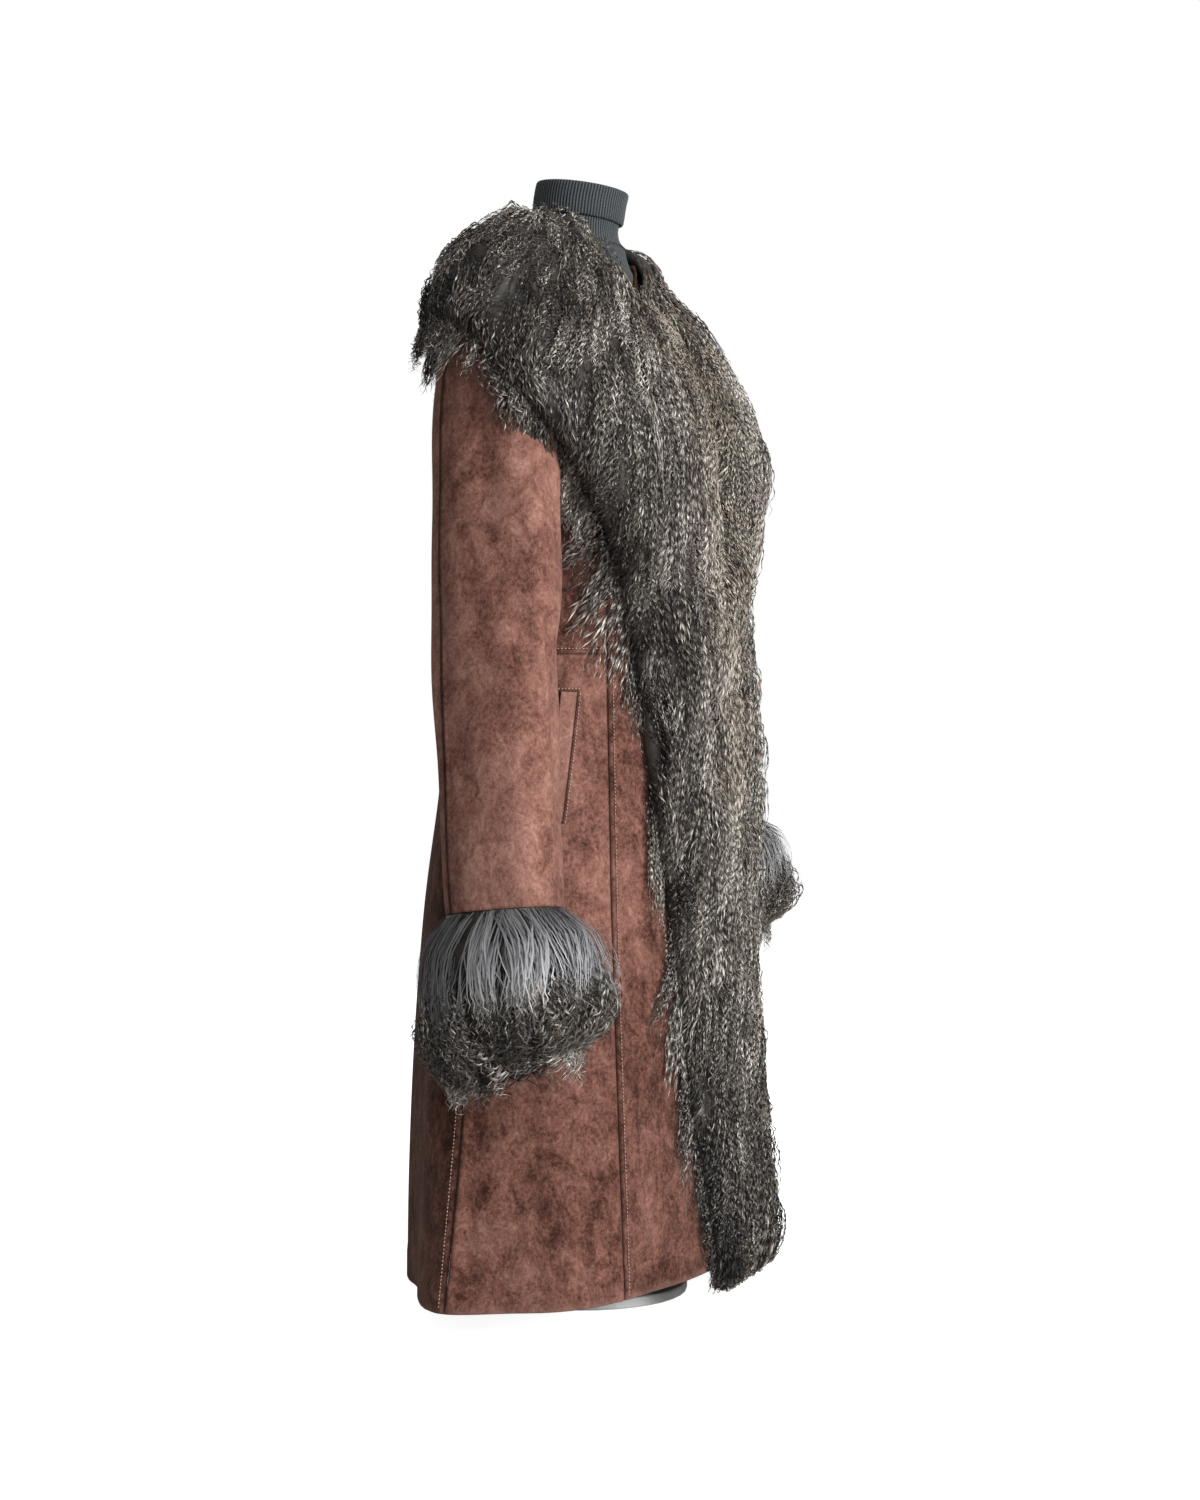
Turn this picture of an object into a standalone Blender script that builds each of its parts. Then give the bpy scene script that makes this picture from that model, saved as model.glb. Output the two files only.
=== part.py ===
"""Long suede coat with a curly lamb shawl collar, front bands and cuffs, on a limbless dress form.

Metres, +Z up. The coat faces -Y and the wearer's right arm is at -X. The origin is the centre of
the underside of the form's round base. Angles round the coat are in degrees, seen from above: 0 is
the centre front, 90 the wearer's right side, 180 the centre back and 270 the wearer's left side.
"""

import math
from collections import namedtuple

import bpy
from mathutils import Vector

# ---- Driving dimensions -------------------------------------------------------------------------
HEM_FRONT = 0.046       # the suede hem above the floor, at the centre front
HEM_BACK = 0.023
NECKLINE = 1.050        # top edge of the suede, at the side of the neck
NECK_RISE = 0.020       # the neckline is this much higher at the back and lower at the front
WAIST_SEAM = 0.633      # cross seam between the princess and side seams
CLOSING = 0.641         # the fronts meet edge to edge below this height
SUEDE = 0.0016          # wall of the suede panels
SEAM_GAP = 0.0003       # between two panels that are sewn together
FUR_CLEARANCE = 0.0010  # between the suede and the skin of the lamb collar

ARMHOLE_HEIGHT = 0.9095
ARMHOLE_Y = -0.003
ARMHOLE_HALF_DEPTH = 0.0610
ARMHOLE_HALF_HEIGHT = 0.0945

BASE_RADIUS = 0.105
BASE_THICKNESS = 0.010
POLE_RADIUS = 0.014
FORM_BOTTOM = 0.410
FORM_TOP = 1.110

# ---- Tables of sections -------------------------------------------------------------------------
# One row for each level ring of the coat's outer suede: how far it reaches to each side, to the
# front and to the back of the origin, and how square its corners are (2 is an ellipse).
Ring = namedtuple("Ring", "height half_width front back square")
BODY_RINGS = [
    Ring(0.000, 0.303, 0.170, 0.150, 2.2),
    Ring(0.100, 0.283, 0.163, 0.149, 2.2),
    Ring(0.170, 0.269, 0.153, 0.147, 2.2),
    Ring(0.290, 0.247, 0.142, 0.141, 2.2),
    Ring(0.390, 0.229, 0.138, 0.134, 2.2),
    Ring(0.490, 0.210, 0.135, 0.122, 2.2),
    Ring(0.570, 0.195, 0.133, 0.116, 2.2),
    Ring(0.635, 0.184, 0.130, 0.106, 2.2),
    Ring(0.700, 0.182, 0.129, 0.104, 2.2),
    Ring(0.780, 0.189, 0.128, 0.108, 2.3),
    Ring(0.840, 0.192, 0.122, 0.110, 2.3),
    Ring(0.900, 0.190, 0.103, 0.107, 2.3),
    Ring(0.940, 0.187, 0.083, 0.098, 2.3),
    Ring(0.965, 0.184, 0.069, 0.088, 2.3),
    Ring(0.985, 0.179, 0.056, 0.078, 2.2),
    Ring(1.000, 0.168, 0.047, 0.069, 2.1),
    Ring(1.014, 0.149, 0.043, 0.062, 2.0),
    Ring(1.026, 0.126, 0.043, 0.057, 2.0),
    Ring(1.038, 0.100, 0.045, 0.055, 2.0),
    Ring(1.052, 0.074, 0.050, 0.054, 2.0),
]
# What the collar lies on: the coat's own rings up to the chest, then the coat and sleeve heads.
DRAPE_RINGS = [ring for ring in BODY_RINGS if ring.height < 0.69] + [
    Ring(0.700, 0.186, 0.130, 0.105, 2.2),
    Ring(0.730, 0.198, 0.131, 0.107, 2.3),
    Ring(0.780, 0.233, 0.130, 0.112, 2.5),
    Ring(0.830, 0.272, 0.128, 0.116, 2.8),
    Ring(0.880, 0.284, 0.118, 0.114, 2.7),
    Ring(0.920, 0.277, 0.104, 0.108, 2.5),
    Ring(0.945, 0.266, 0.092, 0.100, 2.4),
    Ring(0.970, 0.250, 0.076, 0.090, 2.3),
    Ring(0.990, 0.230, 0.062, 0.081, 2.2),
    Ring(1.004, 0.205, 0.053, 0.073, 2.1),
    Ring(1.016, 0.174, 0.048, 0.068, 2.0),
    Ring(1.028, 0.138, 0.047, 0.062, 2.0),
    Ring(1.040, 0.106, 0.049, 0.059, 2.0),
    Ring(1.054, 0.074, 0.051, 0.056, 2.0),
]
# Room between the coat and the form inside it.
Ease = namedtuple("Ease", "height gap")
FORM_EASE = [
    Ease(0.410, 0.034), Ease(0.470, 0.020), Ease(0.630, 0.010), Ease(0.780, 0.009),
    Ease(0.900, 0.007), Ease(0.965, 0.004), Ease(0.995, 0.0022), Ease(1.060, 0.0022),
]
# The form's neck, above the shoulders; forward is how far its ring has moved to the front.
NeckRing = namedtuple("NeckRing", "height half_width half_depth forward")
NECK_RINGS = [
    NeckRing(1.050, 0.0600, 0.0480, -0.006),
    NeckRing(1.058, 0.0470, 0.0430, -0.006),
    NeckRing(1.071, 0.0415, 0.0410, -0.006),
    NeckRing(1.084, 0.0425, 0.0425, -0.005),
    NeckRing(1.098, 0.0430, 0.0430, -0.003),
    NeckRing(FORM_TOP, 0.0430, 0.0430, 0.000),
]
NECK_TILT = math.tan(math.radians(8.6))  # the top of the neck leans to the front

# Soft flutes of the skirt: they start at top and are deepest at the hem. Ridges are positive.
Flute = namedtuple("Flute", "angle spread depth top")
FLUTES = [
    Flute(50, 9, -0.004, 0.33), Flute(66, 8, 0.004, 0.39), Flute(82, 7, -0.009, 0.43),
    Flute(94, 7, 0.007, 0.47), Flute(117, 15, -0.019, 0.46), Flute(150, 10, -0.004, 0.41),
    Flute(168, 9, 0.007, 0.37), Flute(188, 9, -0.008, 0.40), Flute(207, 9, 0.006, 0.42),
    Flute(240, 14, -0.016, 0.44), Flute(265, 8, 0.008, 0.46), Flute(278, 7, -0.008, 0.42),
    Flute(292, 8, 0.006, 0.38), Flute(309, 9, -0.004, 0.33),
]

# Seams of the body, as the angle at each height. The princess seam runs into the armhole.
SeamRow = namedtuple("SeamRow", "height angle")
FRONT_EDGE = [
    SeamRow(0.000, 0.12), SeamRow(CLOSING, 0.12), SeamRow(0.730, 3.5), SeamRow(0.830, 10.0),
    SeamRow(0.920, 19.0), SeamRow(1.000, 36.0), SeamRow(1.055, 58.0),
]
PRINCESS = [
    SeamRow(0.000, 59.0), SeamRow(0.570, 60.5), SeamRow(0.750, 60.5), SeamRow(0.800, 62.0),
    SeamRow(0.840, 65.0), SeamRow(0.880, 71.0), SeamRow(0.920, 80.0), SeamRow(0.960, 90.0),
    SeamRow(1.060, 90.0),
]
SIDE = [SeamRow(0.000, 93.0), SeamRow(0.820, 93.0), SeamRow(0.960, 90.0), SeamRow(1.060, 90.0)]

# Outer edge of the lamb: the front bands widen upwards into a shawl collar over the shoulders.
COLLAR_SIDE = 100.0
COLLAR_SIDE_HEIGHT = 0.945
FUR_OUTER = [
    SeamRow(0.000, 24.0), SeamRow(0.077, 26.0), SeamRow(0.210, 32.0), SeamRow(0.305, 35.0),
    SeamRow(0.381, 38.0), SeamRow(0.448, 43.0), SeamRow(0.533, 47.0), SeamRow(0.638, 52.0),
    SeamRow(0.695, 56.0), SeamRow(0.740, 61.0), SeamRow(0.785, 67.0), SeamRow(0.834, 74.0),
    SeamRow(0.879, 81.5), SeamRow(0.907, 86.0), SeamRow(0.930, 93.0),
    SeamRow(COLLAR_SIDE_HEIGHT, COLLAR_SIDE), SeamRow(1.060, COLLAR_SIDE),
]
FUR_BOTTOM = 0.027
FUR_EDGE_SHARE = 0.20   # of the full pile, at the collar's outer and lower edge
FUR_EDGE_ROUND = 0.045
# How deep the pile stands off the skin.
PileRow = namedtuple("PileRow", "height pile")
PILE = [
    PileRow(0.000, 0.032), PileRow(0.250, 0.035), PileRow(0.550, 0.040), PileRow(0.650, 0.041),
    PileRow(0.780, 0.039), PileRow(0.880, 0.032), PileRow(0.960, 0.028), PileRow(1.060, 0.038),
]
# Lower edge of the collar behind the shoulders.
CollarRow = namedtuple("CollarRow", "angle height")
COLLAR_LOWER = [
    CollarRow(100, COLLAR_SIDE_HEIGHT), CollarRow(118, 0.932), CollarRow(150, 0.907),
    CollarRow(180, 0.895), CollarRow(210, 0.907), CollarRow(242, 0.932),
    CollarRow(260, COLLAR_SIDE_HEIGHT),
]

# Rings of a sleeve from the armhole to the cuff seam: its outer and inner lines seen from the
# front, half its depth, how far forward it hangs, the tilt of its front edge in degrees, how
# square it is, and how much it follows the curve of the armhole.
Sleeve = namedtuple(
    "Sleeve", "row outer_x outer_z inner_x inner_z half_depth forward tilt square hug"
)
SLEEVE_ROWS = [
    Sleeve(0, 0.166, 1.0035, 0.190, 0.8155, 0.0605, 0.003, 0, 2.0, 1.00),
    Sleeve(1, 0.198, 1.000, 0.200, 0.808, 0.0605, 0.004, 0, 2.0, 0.55),
    Sleeve(2, 0.224, 0.982, 0.206, 0.800, 0.0605, 0.005, 0, 2.1, 0.20),
    Sleeve(3, 0.245, 0.948, 0.208, 0.788, 0.0605, 0.007, 0, 2.2, 0.00),
    Sleeve(4, 0.262, 0.895, 0.208, 0.770, 0.0605, 0.009, 0, 2.3, 0.00),
    Sleeve(5, 0.277, 0.825, 0.210, 0.742, 0.0600, 0.012, 0, 2.4, 0.00),
    Sleeve(6, 0.292, 0.735, 0.216, 0.690, 0.0585, 0.018, 1, 2.5, 0.00),
    Sleeve(7, 0.309, 0.635, 0.232, 0.613, 0.0560, 0.026, 3, 2.5, 0.00),
    Sleeve(8, 0.333, 0.517, 0.256, 0.507, 0.0530, 0.039, 5, 2.5, 0.00),
    Sleeve(9, 0.357, 0.404, 0.280, 0.397, 0.0515, 0.054, 6, 2.5, 0.00),
]
SLEEVE_LAST = 9.0
SLEEVE_ELBOW = 6.2       # the row at which the sleeve's solids end and the forearm's begin
ELBOW_GAP = 0.0015       # in rows, on each side of it
SLEEVE_BACK_SEAM = -42.0
SLEEVE_FRONT_SEAM = 138.0
# Creases of a sleeve: where each is, round and along it, its spreads and its depth.
Crease = namedtuple("Crease", "turn along turn_spread along_spread depth slant")
CREASES = [
    Crease(8, 5.6, 13, 1.3, -0.0030, 16), Crease(38, 6.6, 12, 1.1, -0.0026, 14),
    Crease(-18, 7.2, 12, 0.9, -0.0022, -10), Crease(70, 5.0, 12, 1.2, -0.0024, 18),
    Crease(110, 7.0, 14, 0.6, -0.0028, -30), Crease(96, 7.7, 14, 0.5, -0.0024, 28),
    Crease(-60, 7.1, 14, 0.9, 0.0028, 12), Crease(205, 6.4, 16, 0.9, -0.0026, 10),
]

# Pile round a cuff: along the cuff from its seam, and its share of the full depth.
CuffRow = namedtuple("CuffRow", "along pile")
CUFF_ROWS = [
    CuffRow(0.000, 0.10), CuffRow(0.006, 0.42), CuffRow(0.020, 0.70), CuffRow(0.045, 0.90),
    CuffRow(0.080, 1.00), CuffRow(0.110, 0.95), CuffRow(0.132, 0.76), CuffRow(0.147, 0.46),
    CuffRow(0.154, 0.14),
]
CUFF_PILE = 0.040        # deepest pile on the outer side of the arm
CUFF_PILE_FRONT = 0.048
CUFF_PILE_BACK = 0.028
CUFF_PILE_INNER = 0.021
CUFF_SKIN = 0.0030
CUFF_FLARE = 0.004       # the cuff's skin widens this much by its end
CUFF_FRONT_SHORT = 0.20  # the cuff is shorter by this share at the front

# ---- Materials ----------------------------------------------------------------------------------
SUEDE_COLOUR = (0.200, 0.088, 0.062)
LAMB_COLOUR = (0.095, 0.085, 0.075)
KNIT_COLOUR = (0.045, 0.052, 0.060)
STAND_COLOUR = (0.620, 0.615, 0.600)


def make_material(name, colour, roughness, metallic=0.0):
    material = bpy.data.materials.new(name)
    material.use_nodes = True
    shader = material.node_tree.nodes["Principled BSDF"]
    shader.inputs["Base Color"].default_value = (*colour, 1.0)
    shader.inputs["Roughness"].default_value = roughness
    shader.inputs["Metallic"].default_value = metallic
    return material


# ---- Smooth tables ------------------------------------------------------------------------------
def blended_row(rows, place):
    """The row of a table at this place in its first column, on a smooth curve through the rows."""
    keys = [row[0] for row in rows]
    if place <= keys[0]:
        return rows[0]
    if place >= keys[-1]:
        return rows[-1]
    i = max(k for k in range(len(rows) - 1) if keys[k] <= place)
    step = keys[i + 1] - keys[i]
    t = (place - keys[i]) / step

    def slope(k, column):
        low, high = max(k - 1, 0), min(k + 1, len(rows) - 1)
        return (rows[high][column] - rows[low][column]) / (keys[high] - keys[low])

    values = [place]
    for column in range(1, len(rows[0])):
        start, end = rows[i][column], rows[i + 1][column]
        if start == end:
            values.append(start)
            continue
        values.append(
            (2 * t**3 - 3 * t**2 + 1) * start
            + (t**3 - 2 * t**2 + t) * step * slope(i, column)
            + (3 * t**2 - 2 * t**3) * end
            + (t**3 - t**2) * step * slope(i + 1, column)
        )
    return type(rows[0])(*values)


def mix(a, b, t):
    return a + (b - a) * t


def rounded(distance, radius):
    """0 at an edge, rising along a quarter circle to 1 at radius from it."""
    share = min(max(distance / radius, 0.0), 1.0)
    return math.sqrt(1 - (1 - share) ** 2)


# ---- Surfaces -----------------------------------------------------------------------------------
def ring_point(ring, angle, extra=0.0):
    """The point of a ring at this angle; near the neck the ring rises to the back."""
    turn = math.radians(angle)
    side, ahead = math.sin(turn), math.cos(turn)
    depth = ring.front if ahead > 0 else ring.back
    sum_of_powers = abs(side / ring.half_width) ** ring.square + abs(ahead / depth) ** ring.square
    radius = sum_of_powers ** (-1 / ring.square) + extra
    near_neck = min(max((ring.height - 0.960) / 0.080, 0.0), 1.0)
    rise = -NECK_RISE * ahead * near_neck**2 * (3 - 2 * near_neck)
    return Vector((-side * radius, -ahead * radius, ring.height + rise))


def flute_depth(angle, height):
    total = 0.0
    for flute in FLUTES:
        drop = (flute.top - height) / (flute.top - HEM_BACK)
        if drop > 0:
            total += flute.depth * drop**1.4 * math.exp(-(((angle - flute.angle) / flute.spread) ** 2))
    return total


def plain_surface(angle, height):
    return ring_point(blended_row(BODY_RINGS, height), angle)


def coat_surface(angle, height):
    return ring_point(blended_row(BODY_RINGS, height), angle, flute_depth(angle % 360, height))


def drape_surface(angle, height):
    return ring_point(blended_row(DRAPE_RINGS, height), angle, flute_depth(angle % 360, height))


def moved_out(surface, angle, height, distance):
    """The surface's point at this angle and height, moved out along its normal."""
    point = surface(angle, height)
    round_it = surface(angle + 0.5, height) - surface(angle - 0.5, height)
    upper = min(height + 0.002, BODY_RINGS[-1].height)
    up_it = surface(angle, upper) - surface(angle, upper - 0.004)
    return point + up_it.cross(round_it).normalized() * distance


def coat_side_at(y, z):
    """How far the coat's side reaches at this depth and height."""
    ring = blended_row(BODY_RINGS, z)
    depth = ring.front if y < 0 else ring.back
    return ring.half_width * max(1 - abs(y / depth) ** ring.square, 0.0) ** (1 / ring.square)


def crease_depth(turn, along):
    total = 0.0
    for crease in CREASES:
        centre = crease.turn + crease.slant * (along - crease.along)
        away = (turn - centre + 180) % 360 - 180
        total += crease.depth * math.exp(
            -((away / crease.turn_spread) ** 2) - ((along - crease.along) / crease.along_spread) ** 2
        )
    return total


def sleeve_frame(along):
    """(centre, half the way out to its outer line, half the way to its front) of a sleeve's ring."""
    row = blended_row(SLEEVE_ROWS, along)
    outer = Vector((-row.outer_x, -row.forward, row.outer_z))
    inner = Vector((-row.inner_x, -row.forward, row.inner_z))
    tilt = math.radians(row.tilt)
    to_front = Vector((0, -math.cos(tilt), math.sin(tilt))) * row.half_depth
    return row, (outer + inner) / 2, (outer - inner) / 2, to_front


def sleeve_surface(turn, along, extra=0.0):
    """The right sleeve: turn 0 is its outer side, 90 its front, 180 the side next to the body."""
    row, centre, outward, to_front = sleeve_frame(along)
    across, ahead = math.cos(math.radians(turn)), math.sin(math.radians(turn))
    radius = (abs(across) ** row.square + abs(ahead) ** row.square) ** (-1 / row.square)
    radius += (crease_depth(turn, along) + extra) / to_front.length
    point = centre + (outward * across + to_front * ahead) * radius
    if row.hug > 0:
        point.x = mix(point.x, -coat_side_at(point.y, point.z), row.hug)
    return point


def sleeve_wall(turn, along, distance):
    """The right sleeve's point here, moved out along its normal."""
    before, after = max(along - 0.05, 0.0), min(along + 0.05, SLEEVE_LAST)
    along_it = sleeve_surface(turn, after) - sleeve_surface(turn, before)
    round_it = sleeve_surface(turn + 1, along) - sleeve_surface(turn - 1, along)
    return sleeve_surface(turn, along) + along_it.cross(round_it).normalized() * distance


def pile_reach(angle, height, distance):
    """The drape's point here, moved out square to it but kept at its own angle from above."""
    point = drape_surface(angle, height)
    upper = min(height + 0.002, DRAPE_RINGS[-1].height)
    up_it = drape_surface(angle, upper) - drape_surface(angle, upper - 0.004)
    away = Vector((point.x, point.y, 0)).normalized()
    climb = Vector((up_it.dot(away), up_it.z)).normalized()
    return point + (away * climb.y - Vector((0, 0, climb.x))) * distance


# ---- Meshes -------------------------------------------------------------------------------------
def grid_faces(rows, columns, start=0, closed=False, flip=False):
    """Four-sided faces of a grid of points, row after row; closed joins its last column to its first."""
    faces = []
    for r in range(rows - 1):
        for c in range(columns if closed else columns - 1):
            after = (c + 1) % columns
            corners = [r * columns + c, r * columns + after, (r + 1) * columns + after, (r + 1) * columns + c]
            corners = [start + corner for corner in corners]
            faces.append(corners[::-1] if flip else corners)
    return faces


def new_object(name, points, faces, material, collection):
    mesh = bpy.data.meshes.new(name)
    mesh.from_pydata([tuple(point) for point in points], [], faces)
    mesh.materials.append(material)
    mesh.shade_smooth()
    mesh.set_sharp_from_angle(angle=math.radians(50))
    made = bpy.data.objects.new(name, mesh)
    collection.objects.link(made)
    return made


def sheet_object(name, inside, outside, material, collection):
    """One closed body between two grids of points: the inner and outer faces of cloth or fur."""
    rows, columns = len(inside), len(inside[0])
    count = rows * columns
    points = [point for row in inside for point in row] + [point for row in outside for point in row]
    faces = grid_faces(rows, columns) + grid_faces(rows, columns, start=count, flip=True)
    rim = list(range(columns))
    rim += [r * columns + columns - 1 for r in range(1, rows)]
    rim += [(rows - 1) * columns + c for c in reversed(range(columns - 1))]
    rim += [r * columns for r in reversed(range(1, rows - 1))]
    for here, after in zip(rim, rim[1:] + rim[:1]):
        faces.append([after, here, count + here, count + after])
    return new_object(name, points, faces, material, collection)


def tube_object(name, rings, material, collection, capped=True):
    """A closed body through rings of points; without caps its last ring joins its first."""
    columns = len(rings[0])
    points = [point for ring in rings for point in ring]
    faces = grid_faces(len(rings), columns, closed=True, flip=True)
    if capped:
        faces.append(list(range(columns)))
        faces.append([len(points) - columns + c for c in reversed(range(columns))])
    else:
        last = len(points) - columns
        for c in range(columns):
            after = (c + 1) % columns
            faces.append([c, after, last + after, last + c])
    return new_object(name, points, faces, material, collection)


def levels(bottom, top, rows):
    """Heights whose rings lie evenly along the coat's side, so that the shoulders get enough rows."""
    steps = 200
    heights = [mix(bottom, top, s / steps) for s in range(steps + 1)]
    widths = [blended_row(BODY_RINGS, height).half_width for height in heights]
    length = [0.0]
    for s in range(steps):
        length.append(length[-1] + math.hypot(heights[s + 1] - heights[s], widths[s + 1] - widths[s]))
    found = []
    for r in range(rows + 1):
        wanted = length[-1] * r / rows
        s = min(sum(1 for value in length if value < wanted), steps)
        found.append(heights[s])
    found[0], found[-1] = bottom, top
    return found


BODY_LEVELS = levels(HEM_BACK, NECKLINE, 27)


def angle_inset(surface, angle, height, distance):
    """The angle that lies this distance round from another, along the surface's ring."""
    degree = (surface(angle + 0.5, height) - surface(angle - 0.5, height)).length
    return angle + distance / degree


# ---- The coat's body ----------------------------------------------------------------------------
def hem_height(angle):
    return mix(HEM_BACK, HEM_FRONT, (1 + math.cos(math.radians(angle))) / 2)


def panel_levels(bottom, top):
    """The heights of the body's rows, the same in every panel so that seams meet row for row."""
    rows = [height for height in BODY_LEVELS if bottom + 0.002 < height < top - 0.002]
    return [bottom, *rows, top]


def body_grids(low_edge, high_edge, bottom, top, columns):
    """The inner and outer faces of a panel between two seams, each a table of angles."""
    inside, outside = [], []
    for height in panel_levels(bottom, top):
        low = angle_inset(coat_surface, blended_row(low_edge, height).angle, height, SEAM_GAP / 2)
        high = angle_inset(coat_surface, blended_row(high_edge, height).angle, height, -SEAM_GAP / 2)
        inner_row, outer_row = [], []
        for c in range(columns + 1):
            angle = mix(low, high, c / columns)
            rise = hem_height(angle) - HEM_BACK
            level = height + rise * max((0.16 - height) / (0.16 - HEM_BACK), 0.0)
            inner_row.append(moved_out(coat_surface, angle, level, -SUEDE))
            outer_row.append(coat_surface(angle, level))
        inside.append(inner_row)
        outside.append(outer_row)
    return inside, outside


def other_side(edge):
    return [SeamRow(row.height, 360 - row.angle) for row in edge]


def armhole_cutter(side, cutters):
    """An oval bar along X that opens the armhole through the side panels."""
    bpy.ops.mesh.primitive_cylinder_add(
        vertices=40, radius=1, depth=0.24, location=(side * 0.225, ARMHOLE_Y, ARMHOLE_HEIGHT),
        rotation=(0, math.pi / 2, 0),
    )
    cutter = bpy.context.object
    cutter.name = "armhole_cutter_" + ("left" if side > 0 else "right")
    cutter.scale = (ARMHOLE_HALF_HEIGHT, ARMHOLE_HALF_DEPTH, 1)
    bpy.ops.object.transform_apply(location=False, rotation=True, scale=True)
    cutter.hide_render = True
    cutter.display_type = "WIRE"
    for collection in cutter.users_collection:
        collection.objects.unlink(cutter)
    cutters.objects.link(cutter)
    return cutter


def cut_armhole(panel, cutter):
    boolean = panel.modifiers.new("armhole", "BOOLEAN")
    boolean.operation = "DIFFERENCE"
    boolean.solver = "EXACT"
    boolean.object = cutter


def make_body(suede, coat, cutters):
    half = SEAM_GAP / 2
    back_seam = [SeamRow(0.0, 180.0), SeamRow(1.1, 180.0)]
    plan = {
        "front": (FRONT_EDGE, PRINCESS, HEM_BACK, NECKLINE, 7),
        "side_front_skirt": (PRINCESS, SIDE, HEM_BACK, WAIST_SEAM - half, 5),
        "side_front_bodice": (PRINCESS, SIDE, WAIST_SEAM + half, 0.925, 4),
        "back": (SIDE, back_seam, HEM_BACK, NECKLINE, 12),
    }
    for side in ("right", "left"):
        cutter = armhole_cutter(1 if side == "left" else -1, cutters)
        for piece, (low, high, bottom, top, columns) in plan.items():
            edges = (low, high) if side == "right" else (other_side(high), other_side(low))
            inside, outside = body_grids(*edges, bottom, top, columns)
            panel = sheet_object(f"{piece}_{side}", inside, outside, suede, coat)
            if piece != "side_front_skirt":
                cut_armhole(panel, cutter)


# ---- Pocket welts -------------------------------------------------------------------------------
POCKET_TOP = (69.8, 0.597)     # angle and height of the front top corner of the right welt
POCKET_BOTTOM = (73.5, 0.476)
WELT_WIDTH = 0.015
WELT_WALL = 0.0016
WELT_CLEARANCE = 0.0007


def make_pockets(suede, coat):
    """A slanted welt on each skirt side panel, made from the panel's own points, moved out."""
    rows = 9
    for side in ("right", "left"):
        inside, outside = [], []
        for r in range(rows + 1):
            front = mix(POCKET_BOTTOM[0], POCKET_TOP[0], r / rows)
            height = mix(POCKET_BOTTOM[1], POCKET_TOP[1], r / rows)
            behind = angle_inset(coat_surface, front, height, WELT_WIDTH)
            angles = [front, mix(front, behind, 0.5), behind]
            if side == "left":
                angles = [360 - angle for angle in reversed(angles)]
            inside.append([moved_out(coat_surface, a, height, WELT_CLEARANCE) for a in angles])
            outside.append(
                [moved_out(coat_surface, a, height, WELT_CLEARANCE + WELT_WALL) for a in angles])
        sheet_object(f"pocket_welt_{side}", inside, outside, suede, coat)


# ---- Sleeves ------------------------------------------------------------------------------------
# The left sleeve hangs more bent than the right one: its elbow is further back and its cuff higher.
LEFT_CUFF_BACK = 0.040
LEFT_CUFF_UP = 0.065
LEFT_CUFF_IN = 0.004
LEFT_ELBOW_BACK = 0.026


def placed(point, side, along):
    """A point made for the right sleeve, put on this side."""
    if side == "right":
        return point
    share = min(max((along - 2) / (SLEEVE_LAST - 2), 0.0), 1.0)
    lift = share**1.5
    elbow = math.sin(math.pi * share) ** 2
    back = LEFT_CUFF_BACK * lift + LEFT_ELBOW_BACK * elbow
    return Vector((-point.x - LEFT_CUFF_IN * lift, point.y + back, point.z + LEFT_CUFF_UP * lift))


def make_sleeves(suede, coat):
    halves = {
        "top": (SLEEVE_BACK_SEAM, SLEEVE_FRONT_SEAM, 9),
        "under": (SLEEVE_FRONT_SEAM, SLEEVE_BACK_SEAM + 360, 9),
    }
    stretches = {
        "sleeve": (0.0, SLEEVE_ELBOW - ELBOW_GAP, 13),
        "forearm": (SLEEVE_ELBOW + ELBOW_GAP, SLEEVE_LAST, 6),
    }
    for side in ("right", "left"):
        for half, (low, high, columns) in halves.items():
            for stretch, (first, last, rows) in stretches.items():
                inside, outside = [], []
                for r in range(rows + 1):
                    along = mix(first, last, r / rows)
                    inset = math.degrees(1.3 * SEAM_GAP / sleeve_frame(along)[3].length)
                    turns = [mix(low + inset, high - inset, c / columns) for c in range(columns + 1)]
                    if side == "left":
                        turns = turns[::-1]
                    inside.append(
                        [placed(sleeve_wall(turn, along, -SUEDE), side, along) for turn in turns])
                    outside.append([placed(sleeve_surface(turn, along), side, along) for turn in turns])
                sheet_object(f"{stretch}_{half}_{side}", inside, outside, suede, coat)


# ---- Lamb collar, bands and cuffs ---------------------------------------------------------------
COLLAR_ROWS = 9


def pile_at(angle, height, lower, from_neck):
    """Depth of the pile: full between the edges of the lamb and rounded off at each of them."""
    right_angle = angle if angle <= 180 else 360 - angle
    degree = (drape_surface(angle + 0.5, height) - drape_surface(angle - 0.5, height)).length
    depth = blended_row(PILE, height).pile
    outer = blended_row(FUR_OUTER, height).angle
    above = max(height - lower, 0.0)
    to_side = max(outer - right_angle, 0.0) * degree
    depth *= mix(FUR_EDGE_SHARE, 1.0, rounded(math.hypot(to_side, above), FUR_EDGE_ROUND))
    if right_angle < outer:
        inner = blended_row(FRONT_EDGE, height).angle
        opening = min(max((height - CLOSING) / 0.06, 0.0), 1.0)
        from_edge = rounded((right_angle - inner) * degree, 0.050)
        depth *= mix(mix(0.80, 1.0, from_edge), mix(0.25, 1.0, from_edge), opening)
    depth *= mix(0.30, 1.0, rounded(height - FUR_BOTTOM, 0.045))
    return depth * mix(0.85, 1.0, rounded(from_neck, 0.030))


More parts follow.
